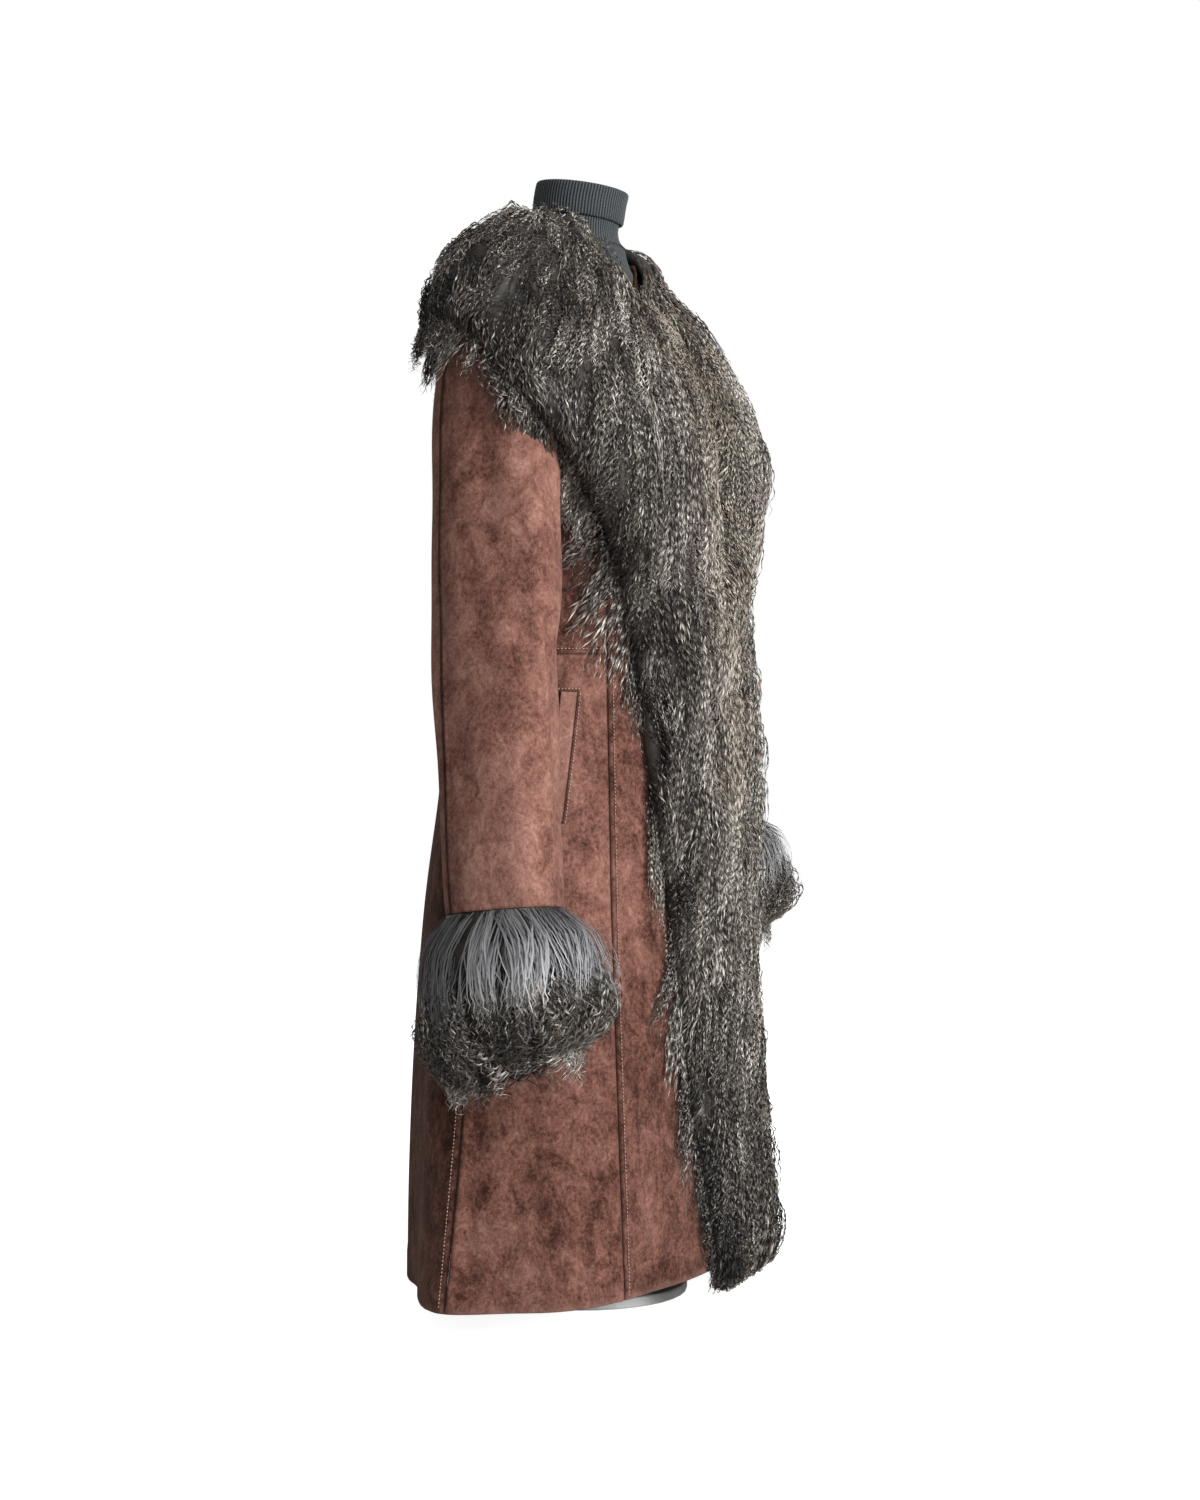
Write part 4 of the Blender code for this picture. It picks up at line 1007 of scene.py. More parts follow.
def make_lamb():
    material, tree, shader, place = start_material("curled_lamb", 0.36, 0.6)
    lines = place_group(tree, THREADS, place, Scale=900.0)["Lines"]
    shade = add_math(tree, "MULTIPLY_ADD", attribute(tree, "tip"), 0.46, attribute(tree, "shade"))
    shade = add_math(tree, "MULTIPLY_ADD", lines, 0.16, shade)
    cool = attribute(tree, "cool")
    colour = add_ramp(tree, shade, DARK_LAMB)
    colour = add_tint(tree, colour, add_ramp(tree, shade, TAN_LAMB), attribute(tree, "faded"))
    colour = add_tint(tree, colour, add_ramp(tree, shade, GREY_LAMB), cool)
    tree.links.new(colour, shader.inputs["Base Color"])
    tree.links.new(add_span(tree, cool, 0.0, 0.9, 0.40, 0.62), shader.inputs["Roughness"])
    shader.inputs["Sheen Weight"].default_value = 0.10
    shader.inputs["Sheen Roughness"].default_value = 0.35
    return material


LAMB_FINISH = make_lamb()

# %% [markdown]
# ## Growing the locks
# Real particle hair isn't kept when a model is exported, so each lock is a narrow ribbon mesh. The
# roots are scattered evenly, a group of roots shares one curl, and the lock follows the surface
# downwards while it winds like a loose spring. All locks of a piece are worked out as arrays, and
# the mesh is filled in one go, which is far quicker than adding faces one by one.

# %% Scattering roots
def scatter(place, spans, spacing, seed):
    """Root places (a, b) that are spread evenly, at least about spacing apart."""
    random = np.random.default_rng(seed)
    (a_low, a_high), (b_low, b_high) = spans
    tries = random.uniform(size=(60000, 2)) * (a_high - a_low, b_high - b_low) + (a_low, b_low)
    a, b = tries.T
    da, db = 0.2, 0.0008
    across = (place(a + da, b, 0.0) - place(a - da, b, 0.0)) / (2 * da)
    up = (place(a, b + db, 0.0) - place(a, b - db, 0.0)) / (2 * db)
    area = np.linalg.norm(np.cross(across, up), axis=1)
    area = np.minimum(area, np.percentile(area, 99))
    tries = tries[random.uniform(size=len(a)) < area / area.max()]
    points = place(tries[:, 0], tries[:, 1], 0.0)
    cells, kept = {}, []
    for i, cell in enumerate(map(tuple, np.floor(points / spacing).astype(int))):
        near = [k for dx in (-1, 0, 1) for dy in (-1, 0, 1) for dz in (-1, 0, 1)
                for k in cells.get((cell[0] + dx, cell[1] + dy, cell[2] + dz), ())]
        if all(((points[i] - points[k]) ** 2).sum() > spacing**2 for k in near):
            cells.setdefault(cell, []).append(i)
            kept.append(i)
    return tries[kept]


# %% Ribbons
def ribbon_mesh(name, centre, half_width, values):
    """Joins ribbons of equal length: centre and half_width are (locks, points, 3) arrays."""
    locks, count = centre.shape[:2]
    points = np.stack([centre - half_width, centre + half_width], 2).reshape(-1, 3)
    first = (np.arange(locks)[:, None] * count + np.arange(count - 1)[None, :]) * 2
    faces = np.stack([first, first + 1, first + 3, first + 2], -1).reshape(-1, 4)
    mesh = bpy.data.meshes.new(name)
    mesh.vertices.add(len(points))
    mesh.vertices.foreach_set("co", points.astype(np.float32).ravel())
    mesh.loops.add(faces.size)
    mesh.loops.foreach_set("vertex_index", faces.astype(np.int32).ravel())
    mesh.polygons.add(len(faces))
    mesh.polygons.foreach_set("loop_start", np.arange(0, faces.size, 4, dtype=np.int32))
    mesh.update(calc_edges=True)
    mesh.polygons.foreach_set("use_smooth", np.ones(len(faces), bool))
    for label, value in values.items():
        set_value(mesh, label, np.repeat(value[..., None], 2, -1))
    # Each lock has a cell of its own in a square of cells, so that its colours can be baked.
    cells = math.ceil(math.sqrt(locks))
    corner = np.stack([np.arange(locks) % cells, np.arange(locks) // cells], -1) / cells
    t = np.linspace(0.08, 0.92, count) / cells
    uv = np.empty((locks, count, 2, 2), np.float32)
    uv[..., 0, 0] = corner[:, None, 0] + 0.15 / cells
    uv[..., 1, 0] = corner[:, None, 0] + 0.85 / cells
    uv[..., 1] = (corner[:, None, 1] + t[None, :])[..., None]
    layer = mesh.uv_layers.new(name="OFBake")
    layer.uv.foreach_set("vector", uv.reshape(-1, 2)[faces.ravel()].ravel())
    return place_mesh(mesh)


def thinned(points, spacing, seed):
    """Picks points that are at least this far apart; each of them becomes the heart of a tuft."""
    order = np.random.default_rng(seed).permutation(len(points))
    kept = []
    for i in order:
        if not kept or ((points[kept] - points[i]) ** 2).sum(1).min() > spacing**2:
            kept.append(i)
    return np.array(kept)


def grow(place, pile, clumps, per_clump, seed, length=(0.060, 0.092), curl=(0.0006, 0.0022),
         wave=(0.013, 0.022), width=0.00072, top=(0.55, 0.98), flow=None, straight=None,
         lowest=None, highest=None, edge=None, tone_and_shade=None, faded=None, points=18, spread=0.0050,
         tuft_size=0.026, pull=0.56, silk=None):
    """Locks that rise out of the fleece and run down it. place(a, b, depth) puts a point; a runs
    round and b up. flow(a, b) leans the hair sideways, straight(b) is 1 where it is combed, edge(a)
    is where the skin ends below, and silk(b) is the share of hardly curled tufts."""
    random = np.random.default_rng(seed)
    groups = len(clumps)
    count = groups * per_clump
    group = np.repeat(np.arange(groups), per_clump)
    t = np.linspace(0, 1, points)[None, :]

    def each(low, high, size=count):
        return random.uniform(low, high, size)[:, None]

    a0, b0 = clumps[group, 0][:, None], clumps[group, 1][:, None]
    da, db = 0.25, 0.0008
    per_a = np.linalg.norm(place(a0 + da, b0, 0.0) - place(a0 - da, b0, 0.0), axis=-1) / (2 * da)
    per_b = np.linalg.norm(place(a0, b0 + db, 0.0) - place(a0, b0 - db, 0.0), axis=-1) / (2 * db)
    # Each clump belongs to the nearest tuft, and its tips are drawn towards the middle of that tuft.
    roots = place(clumps[:, 0], clumps[:, 1], 0.0)
    hearts = thinned(roots, tuft_size, seed + 3)
    apart = np.stack([((roots - roots[heart]) ** 2).sum(1) for heart in hearts])
    owner = apart.argmin(0)[group]
    heart = clumps[hearts][owner]
    tufts = len(hearts)
    to_heart_a = (heart[:, :1] - a0) * per_a
    to_heart_b = (heart[:, 1:] - b0) * per_b
    closing = pull * smoothstep(t, 0.05, 0.95)
    gather = 1 - 0.60 * t
    off_a = random.normal(size=(count, 1)) * spread * gather + to_heart_a * closing
    off_b = random.normal(size=(count, 1)) * spread + to_heart_b * 0.35 * closing
    if highest is not None:
        off_b = np.minimum(off_b, (highest - b0) * per_b)
    reach = each(*length, tufts)[owner] * each(0.78, 1.16)
    drift = 0.36 * slow_wave(roots, seed + 7, 0.085)[:, None][group] + each(-0.12, 0.12, tufts)[owner]
    if flow is not None:
        drift = drift + flow(a0, b0)
    if straight is not None:
        drift = drift * (1 - 0.85 * straight(b0))
    lean = (drift + each(-0.07, 0.07)) * reach
    if edge is not None:
        past_edge = each(0.010, 0.040, tufts)[owner] + each(0.0, 0.010)
        room = np.maximum((b0 - edge(a0)) * per_b, 0) + past_edge
        reach = np.minimum(reach, np.maximum(room, 0.036))
    run = reach * (0.30 * t + 0.70 * t**1.25)
    bend = each(-0.006, 0.006, tufts)[owner] * np.sin(np.pi * t)
    a = a0 + (off_a + lean * t + bend) / np.maximum(per_a, 1e-6)
    b = b0 + (off_b - run) / np.maximum(per_b, 1e-6)
    if lowest is not None:
        b = np.maximum(b, lowest + each(-0.006, 0.006))
    # The middle of a tuft stands higher than its sides, so that light and dark follow the tufts.
    from_heart = np.hypot(to_heart_a, to_heart_b) / tuft_size
    swell = 0.10 * slow_wave(roots, seed + 5, 0.060)[:, None][group] + each(-0.10, 0.10, tufts)[owner]
    share = each(*top, groups)[group] * each(0.9, 1.06) * (1.06 - 0.30 * from_heart + swell)
    rise = 0.30 + (share - 0.30) * np.clip(t / 0.36, 0, 1) ** 0.8 * (1 - 0.22 * smoothstep(t, 0.6, 1.0))
    stray = (random.uniform(size=(count, 1)) < 0.08) * each(0.0, 0.18)
    depth = pile(a, b) * (rise + stray * t)
    centre = place(a, b, depth)
    outward = unit(place(a, b, depth + 0.002) - centre)
    tangent = unit(np.gradient(centre, axis=1))
    side = unit(np.cross(tangent, outward))
    outward = np.cross(side, tangent)
    turns = each(0.0, 2 * np.pi, tufts)[owner] + random.normal(size=(groups, 1))[group] * 0.8
    turns = turns + random.normal(size=(count, 1)) * 0.5
    silky_share = 0.35 if silk is None else silk(clumps[hearts, 1:])
    silky = (random.uniform(size=(tufts, 1)) < silky_share)[owner]
    step = each(*wave, tufts)[owner] * each(0.85, 1.15) * np.where(silky, 1.75, 1.0)
    phase = turns + 2 * np.pi * reach * (t + 0.30 * t**2) / step
    handed = np.where(random.uniform(size=(groups, 1)) < 0.5, -1.0, 1.0)[group]
    curly = each(*curl, tufts)[owner] * each(0.6, 1.5) * np.where(silky, 0.62, 1.1)
    size = curly * (0.25 + 0.55 * np.clip(t / 0.4, 0, 1) + 0.75 * smoothstep(t, 0.55, 1.0))
    if straight is not None:
        combed_here = straight(b + each(-0.018, 0.018, groups)[group])
        size = size * (1 - 0.94 * combed_here)
    sideways = side * np.sin(phase)[..., None] * handed[..., None]
    radial = sideways + outward * np.cos(phase)[..., None] * 0.8
    centre = centre + radial * size[..., None]
    along = unit(np.gradient(centre, axis=1))
    if straight is not None:
        radial = mix(radial, outward, combed_here[..., None])
    flat = unit(np.cross(along, radial))
    taper = 0.55 + 0.45 * np.sin(np.pi * np.clip(t * 0.9 + 0.12, 0, 1))
    taper = taper * (1 - 0.75 * np.clip((t - 0.8) / 0.2, 0, 1))
    half_width = flat * (width * each(0.75, 1.25) * taper)[..., None]
    shade = random.normal(0.29, 0.080, (tufts, 1))[owner] + random.normal(0, 0.060, (groups, 1))[group]
    # Locks far from the middle of their tuft get painted shade, so that dark gaps part the tufts.
    shade = np.clip(shade + random.normal(0, 0.075, (count, 1)), 0.0, 0.60) - 0.16 * from_heart
    # Painted glints: about a sixth of the locks are paler from their middle to the tip.
    glint = (random.uniform(size=(count, 1)) < 0.17) * 0.32 * smoothstep(t, 0.2, 0.6)
    # Painted light and shade along each curl: paler where it bulges outwards, darker where it turns in.
    painted_curl_shading = 0.075 * np.cos(phase) * smoothstep(t, 0.15, 0.5)
    if tone_and_shade is not None:
        shade = shade + tone_and_shade(a0, b0)
    values = {"tip": np.broadcast_to(t, a.shape), "shade": shade + glint + painted_curl_shading}
    values["cool"] = np.zeros(a.shape) if straight is None else combed_here * 0.9
    if straight is not None:
        values["shade"] = mix(values["shade"], 0.36 + 0 * values["shade"], 0.55 * combed_here)
    values["faded"] = np.zeros(a.shape) if faded is None else faded(a, b)
    return centre, half_width, values


def lapel_edge(angle):
    """Lowest height of the lapels and the collar at this angle."""
    right = on_the_right(angle)
    heights = np.linspace(0.0, COLLAR_SIDE_HEIGHT, 200)
    front = np.interp(right, column(FUR_OUTER, heights, 1), heights)
    return np.where(right < COLLAR_SIDE, front, column(COLLAR_LOWER, right, 1))


def across_lapel(angle, height):
    """0 at the front edge of the lamb and 1 at its outer edge."""
    right = on_the_right(angle)
    inner, outer = column(FRONT_EDGE, height, 1), column(FUR_OUTER, height, 1)
    return np.clip((right - inner) / (outer - inner), 0, 1)


def pelt_tone_and_shade(angle, height):
    """The lamb is paler along the front edges and darker towards the sleeves, the shoulders and the
    foot of the bands: partly the pelt's own colour, partly painted shade where less light falls.
    """
    share = across_lapel(angle, height)
    low = 1 - smoothstep(height, 0.10, 0.34)
    shoulder = smoothstep(height, 0.90, 1.0)
    return 0.10 - 0.25 * smoothstep(share, 0.30, 1.0) - 0.31 * low - 0.08 * shoulder


def pelt_fading(angle, height):
    share = across_lapel(angle, height)
    return 0.85 * (1 - smoothstep(share, 0.10, 0.50)) * smoothstep(height, 0.30, 0.60)


def pelt_silk(height):
    """Share of silky, hardly curled tufts: most of them hang about the foot of the lapels."""
    return 0.30 + 0.55 * smoothstep(height, 0.42, 0.52) * (1 - smoothstep(height, 0.68, 0.80))


def pelt_flow(angle, height):
    """Hair falls outwards on the lapel's outer half and over the front edge on its inner half."""
    way = np.where(angle % 360 <= 180, 1.0, -1.0)
    opening = smoothstep(height, CLOSING - 0.10, CLOSING + 0.10)
    share = across_lapel(angle, height)
    neck = 0.45 * smoothstep(height, 0.93, 1.01) * (1 - smoothstep(share, 0.0, 0.35))
    outer = 0.14 * smoothstep(share, 0.60, 1.0) * opening
    return way * (mix(-0.04, -0.26, opening) - neck + mix(0.14, 0.44, opening) * share + outer)


def dress(piece, node):
    piece.data.materials.append(LAMB_FINISH)
    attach(piece, "root")
    if node:
        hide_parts(node)
    print(f"{piece.name}: {len(piece.data.polygons)} faces")
    return piece


# %% [markdown]
# ## Fleece under the locks
# A thick dark sheet lies under the locks, so that nothing shows through between them; its
# near-black colour is painted shade, as little light reaches deep in the pile. Its upper face
# swells and sinks unevenly, as dense wool parts into tufts, and its ridges are painted a little paler.

# %% Fleece sheets
def fleece_grid(place, pile, a, b, share, seed):
    """A closed sheet from the skin up to this share of the pile."""
    deep = pile(a, b)
    skin = place(a, b, 0.0)
    narrow = slow_wave(skin * (1, 1, 0.45), seed, 0.016)
    wide = slow_wave(skin * (1, 1, 0.6), seed + 1, 0.034)
    ridge = 0.8 * narrow + 0.8 * wide
    tip = place(a, b, deep * (share + 0.10 * ridge))
    return skin, tip, ridge


def make_fleece(name, place, pile, a, b, share, seed, closed=False, shape=None):
    skin, tip, ridge = fleece_grid(place, pile, a, b, share, seed)
    if shape is not None:
        skin, tip = shape(skin), shape(tip)
    rows, columns = a.shape
    index = np.arange(rows * columns).reshape(rows, columns)
    if closed:
        index = np.concatenate([index, index[:, :1]], axis=1)
    count = rows * columns
    top = grid_faces(index)
    under = top[:, ::-1] + count
    rims = [index[0][::-1], index[:, -1][::-1], index[-1], index[:, 0]]
    if closed:
        rims = [rims[0], rims[2]]
    edges = [np.stack([rim[:-1], rim[:-1] + count, rim[1:] + count, rim[1:]], -1) for rim in rims]
    points = np.concatenate([tip.reshape(-1, 3), skin.reshape(-1, 3)])
    faces = np.concatenate([top, under, *edges])
    mesh = bpy.data.meshes.new(name)
    mesh.from_pydata(points.tolist(), [], faces.tolist())
    mesh.shade_smooth()
    turn_outwards(mesh)
    # Painted shade: the fleece is near black, a little paler on its ridges and darkest underneath.
    shade = np.concatenate([0.16 + 0.10 * ridge.ravel(), np.full(count, 0.10)])
    set_value(mesh, "shade", shade)
    for label in ("tip", "cool", "faded"):
        set_value(mesh, label, shade * 0)
    return place_mesh(mesh)


# %% Lapels, bands and collar
def front_span(low, high, rows, columns, side):
    """Angles and heights of a grid between the front edge and the outer edge of the lamb."""
    heights = even_heights(DRAPE_RINGS, low, high, rows)[:, None]
    shares = np.linspace(0, 1, columns + 1)[None, :]
    angle = mix(column(FRONT_EDGE, heights, 1) + 0.1, column(FUR_OUTER, heights, 1) - 0.1, shares)
    return (angle if side == "right" else 360 - angle[:, ::-1]), heights + 0 * angle


def inside_front(clumps, side, low, high):
    angle = clumps[:, 0] if side == "right" else 360 - clumps[:, 0]
    height = clumps[:, 1]
    keep = (angle > column(FRONT_EDGE, height, 1)) & (angle < column(FUR_OUTER, height, 1))
    return clumps[keep & (height > low) & (height < high)]


def edge_roots(edge, offset, heights, side):
    """A row of roots at these heights, offset degrees from an edge of the lamb."""
    angle = column(edge, heights, 1) + offset
    return np.stack([angle if side == "right" else 360 - angle, heights], -1)


FUR_SPACING = 0.0088    # between two clumps of roots
LOCKS = 5               # locks in a clump
FLEECE_SHARE = 0.46     # height of the fleece, as a share of the pile
SKIN_GAP = 0.0003       # left free at the ends of a piece of lamb
# Low end, high end, rows and columns of the fleece, spacing of the roots, way in from the outer
# edge in degrees, and the seed of the random draws.
FRONT_LAMB = {
    "front_band": (FUR_BOTTOM, CLOSING, 70, 16, 1.07 * FUR_SPACING, 3.2, 11),
    "lapel": (CLOSING, NECK_EDGE, 56, 34, FUR_SPACING, 1.8, 23),
}


def make_front_lamb(part, side):
    low, high, rows, columns, spacing, way_in, seed = FRONT_LAMB[part]
    turn = 1 if side == "right" else -1
    node = f"{part}_{side}"
    a, b = front_span(low + SKIN_GAP, high - SKIN_GAP, rows, columns, side)
    fleece = make_fleece(f"lamb_fleece_{node}", collar_point, pile_at, a, b, FLEECE_SHARE, seed)
    fleece = dress(fleece, node)
    spans = ((0, 101) if side == "right" else (259, 360), (low + 0.012, high))
    clumps = inside_front(scatter(collar_point, spans, spacing, seed + turn), side, *spans[1])
    if part == "lapel":
        # A close row of roots along the front edge hides the edge of the fleece.
        row = edge_roots(FRONT_EDGE, 0.35, np.arange(low + 0.004, high - 0.002, 0.0042), side)
        clumps = np.concatenate([clumps, row])
    # A row along the outer edge keeps the wool dense where it hangs over the suede.
    row = edge_roots(FUR_OUTER, -way_in, np.arange(low + 0.012, min(high, 0.930), 0.0095), side)
    clumps = np.concatenate([clumps, row])
    centre, half_width, values = grow(
        collar_point, pile_at, clumps, LOCKS, seed * 3 + turn, flow=pelt_flow, lowest=0.029,
        edge=lapel_edge, tone_and_shade=pelt_tone_and_shade, faded=pelt_fading, silk=pelt_silk)
    return [fleece, dress(ribbon_mesh(f"lamb_locks_{node}", centre, half_width, values), node)]


lamb_pieces = []
for side in ("right", "left"):
    for part in FRONT_LAMB:
        lamb_pieces += make_front_lamb(part, side)

# %% The back of the collar
angles = np.linspace(COLLAR_SIDE + 0.08, 360 - COLLAR_SIDE - 0.08, 84)
lower_edge = column(COLLAR_LOWER, angles, 1)
b = np.array([even_heights(DRAPE_RINGS, lower, NECK_EDGE, 26) for lower in lower_edge]).T
a = angles[None, :] + 0 * b
fleece = make_fleece("lamb_fleece_collar_back", collar_point, pile_at, a, b, FLEECE_SHARE, 37)
lamb_pieces.append(dress(fleece, "collar_back"))
collar_spans = ((COLLAR_SIDE, 360 - COLLAR_SIDE), (0.895, NECK_EDGE))
clumps = scatter(collar_point, collar_spans, 1.05 * FUR_SPACING, 41)
clumps = clumps[clumps[:, 1] > column(COLLAR_LOWER, clumps[:, 0], 1) + 0.004]
locks = grow(collar_point, pile_at, clumps, LOCKS, 43, edge=lapel_edge, tone_and_shade=pelt_tone_and_shade)
lamb_pieces.append(dress(ribbon_mesh("lamb_locks_collar_back", *locks), "collar_back"))

# %% The cuffs
def combed(up):
    """1 where the cuff's hair is combed straight, 0 in the curly lower part."""
    return 1 - smoothstep(-up, 0.068, 0.112)


def cuff_place(turn, up, depth):
    """The same as cuff_point, with up counted downwards as a negative way from the seam."""
    return cuff_point(turn, -up, depth)


def cuff_depth(turn, up):
    return cuff_pile(turn, np.clip(-up, 0.0, CUFF_LENGTH))


def cuff_tone(turn, up):
    """The curly lower part of the cuff is darker."""
    return -0.10 * smoothstep(-up, 0.04, 0.10) + 0 * turn


def cuff_end(turn):
    """Where the locks start to run out, before the fleece ends."""
    return -0.128 + 0 * turn


CUFF_FLEECE_END = 0.137


def fleece_depth(turn, up):
    """The fleece is thin at the cuff's seam and at its open end, where only hair shows."""
    thin_end = 1 - 0.8 * smoothstep(-up, 0.105, CUFF_FLEECE_END)
    return cuff_depth(turn, up) * smoothstep(-up, -0.012, 0.040) * thin_end


def make_cuff(side):
    def on_side(points):
        return placed(points, side, np.full(points.shape[:-1], SLEEVE_LAST))

    turns = np.linspace(0, 360, 72, endpoint=False)[None, :]
    ways = -np.linspace(0.0004, CUFF_FLEECE_END, 40)[:, None]
    a, b = turns + 0 * ways, ways + 0 * turns
    fleece = dress(make_fleece(f"lamb_fleece_cuff_{side}", cuff_place, fleece_depth, a, b, 0.50, 53,
                               closed=True, shape=on_side), f"cuff_{side}")
    clumps = scatter(cuff_place, ((0, 360), (-0.132, -0.0005)), 0.0080, 59)
    seam_row = scatter(cuff_place, ((0, 360), (-0.008, -0.0002)), 0.0040, 67)
    clumps = np.concatenate([clumps, seam_row])
    centre, half_width, values = grow(
        cuff_place, cuff_depth, clumps, LOCKS, 61, length=(0.070, 0.100), curl=(0.0022, 0.0044),
        wave=(0.011, 0.016), straight=combed, highest=-0.0010, edge=cuff_end, top=(0.62, 1.02),
        tone_and_shade=cuff_tone, width=0.00062, tuft_size=0.018, pull=0.55)
    if side == "left":
        half_width = half_width * (-1, 1, 1)
    locks = ribbon_mesh(f"lamb_locks_cuff_{side}", on_side(centre), half_width, values)
    return [fleece, dress(locks, f"cuff_{side}")]


for side in ("right", "left"):
    lamb_pieces += make_cuff(side)
print("pieces of lamb:", len(lamb_pieces))

# %% [markdown]
# ## Stitching
# The seams are topstitched with a paler thread. Each stitch is its own short raised dash, because a
# painted line would vanish when the light comes from the side. One small capsule is copied along a
# line of points, and each line of stitches becomes a single mesh.

# %% Thread
STITCH_PITCH = 0.0034
STITCH_LENGTH = 0.0021
THREAD_RADIUS = 0.00052
THREAD_SIDES = 4
# Rings of one stitch: way along it, thickness and rise, so that both ends sink into the suede.
STITCH_RINGS = [(-0.5, 0.5, -0.6), (-0.22, 1.0, 0.2), (0.22, 1.0, 0.2), (0.5, 0.5, -0.6)]


def make_thread():
    material, tree, shader, place = start_material("sewing_thread", 0.62, 0.3)
    lines = place_group(tree, THREADS, place, Scale=2600.0)["Lines"]
    colour = add_ramp(tree, lines, [(0.35, (0.330, 0.215, 0.170)), (0.65, (0.640, 0.470, 0.390))])
    tree.links.new(colour, shader.inputs["Base Color"])
    tree.links.new(add_bump(tree, lines, 0.5, 0.0002), shader.inputs["Normal"])
    return material


THREAD_FINISH = make_thread()


def even_line(points, normals, pitch):
    """Places every pitch along a line, with the direction and the normal there."""
    length = way_along(points)
    at = np.arange(pitch / 2, length[-1], pitch)

    def read(values, where):
        return np.stack([np.interp(where, length, values[:, k]) for k in range(3)], -1)

    ahead, behind = read(points, at + 0.0006), read(points, at - 0.0006)
    return read(points, at), unit(ahead - behind), unit(read(normals, at))


def make_stitches(name, points, normals, pitch=STITCH_PITCH, long=STITCH_LENGTH,
                  radius=THREAD_RADIUS):
    place, along, normal = even_line(points, normals, pitch)
    side = unit(np.cross(along, normal))
    normal = np.cross(side, along)
    sides, last = THREAD_SIDES, len(STITCH_RINGS) - 1
    local = []
    for step, share, lift in STITCH_RINGS:
        for angle in np.linspace(0, 2 * np.pi, sides, endpoint=False):
            rise = (math.sin(angle) * share + lift) * radius
            local.append((step * long, math.cos(angle) * share * radius, rise))
    local = np.array(local)
    points = (place[:, None] + along[:, None] * local[None, :, :1]
              + side[:, None] * local[None, :, 1:2] + normal[:, None] * local[None, :, 2:])
    faces = []
    for r in range(last):
        for k in range(sides):
            here, after = r * sides, (k + 1) % sides
            faces.append((here + k, here + after, here + sides + after, here + sides + k))
    caps = [tuple(range(sides))[::-1], tuple(range(last * sides, (last + 1) * sides))]
    count = len(local)
    all_faces = [tuple(v + i * count for v in face)
                 for i in range(len(place)) for face in faces + caps]
    mesh = bpy.data.meshes.new(name)
    mesh.from_pydata(points.reshape(-1, 3).tolist(), [], all_faces)
    mesh.shade_smooth()
    made = place_mesh(mesh)
    made.data.materials.append(THREAD_FINISH)
    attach(made, "root")
    print(f"{name}: {len(place)} stitches")
    return made


def cloth_line(angle, height, lift=0.0020):
    """Points and normals on the dressed suede of the body."""
    plain = coat_surface(angle, height)
    normal = surface_normal(coat_surface, angle, height)
    relief = body_relief(angle, height, plain) + lift
    return plain + normal * relief[:, None], normal


def beside(edge, heights, way, side):
    """Angles that run this way (in metres, positive to the back) beside a seam."""
    angle = column(edge, heights, 1)
    angle = angle + way / metres_per_degree(coat_surface, angle, heights)
    return angle if side == "right" else 360 - angle


# %% Stitch the body
BESIDE_SEAM = 0.0052    # the row of stitches runs this far from its seam
for side in ("right", "left"):
    up = np.linspace(0.043, 0.905, 500)
    line = cloth_line(beside(PRINCESS, up, -BESIDE_SEAM, side), up)
    make_stitches(f"stitches_princess_{side}", *line)
    up = np.linspace(0.038, 0.80, 420)
    make_stitches(f"stitches_side_{side}", *cloth_line(beside(SIDE, up, BESIDE_SEAM, side), up))
    across = np.linspace(61.2, 92.2, 90)
    across = across if side == "right" else 360 - across
    level = np.full(90, WAIST_SEAM + 0.0050)
    make_stitches(f"stitches_waist_{side}", *cloth_line(across, level, 0.0014))
up = np.linspace(0.028, 0.88, 460)
make_stitches("stitches_centre_back", *cloth_line(beside(BACK, up, BESIDE_SEAM, "right"), up))

# %% Stitch the sleeve hems
for side in ("right", "left"):
    turn = np.linspace(0, 360, 240)
    row = np.full(240, SLEEVE_LAST - 0.0062 / ROW_STEP)
    plain = sleeve_surface(turn, row)
    normal = sleeve_normal(turn, row)
    lifted = plain + normal * (sleeve_wave(plain) + 0.0021)[:, None]
    if side == "left":
        normal = normal * (-1, 1, 1)
    make_stitches(f"stitches_sleeve_{side}", placed(lifted, side, row), normal)

# %% [markdown]
# ## Pockets
# A slanted welt stands on each side of the skirt. Its front edge is sewn down with a row of
# stitches, its rear edge folds over the slot, and a narrow lip closes the slot from behind. The
# slot shows as a dark line of painted shade between welt and lip, and painted shade also runs
# along the welt's front edge and at its ends.

# %% Pocket welts
# Angle and height of the welt's front edge, at its top and at its foot.
POCKET_TOP, POCKET_BOTTOM = (69.8, 0.597), (73.5, 0.476)
WELT_SHARES = np.concatenate([
    [-0.012, -0.002, 0.0, 0.004, 0.012], np.linspace(0.03, 0.97, 48),
    [0.988, 0.996, 1.0, 1.002, 1.012]])[:, None]
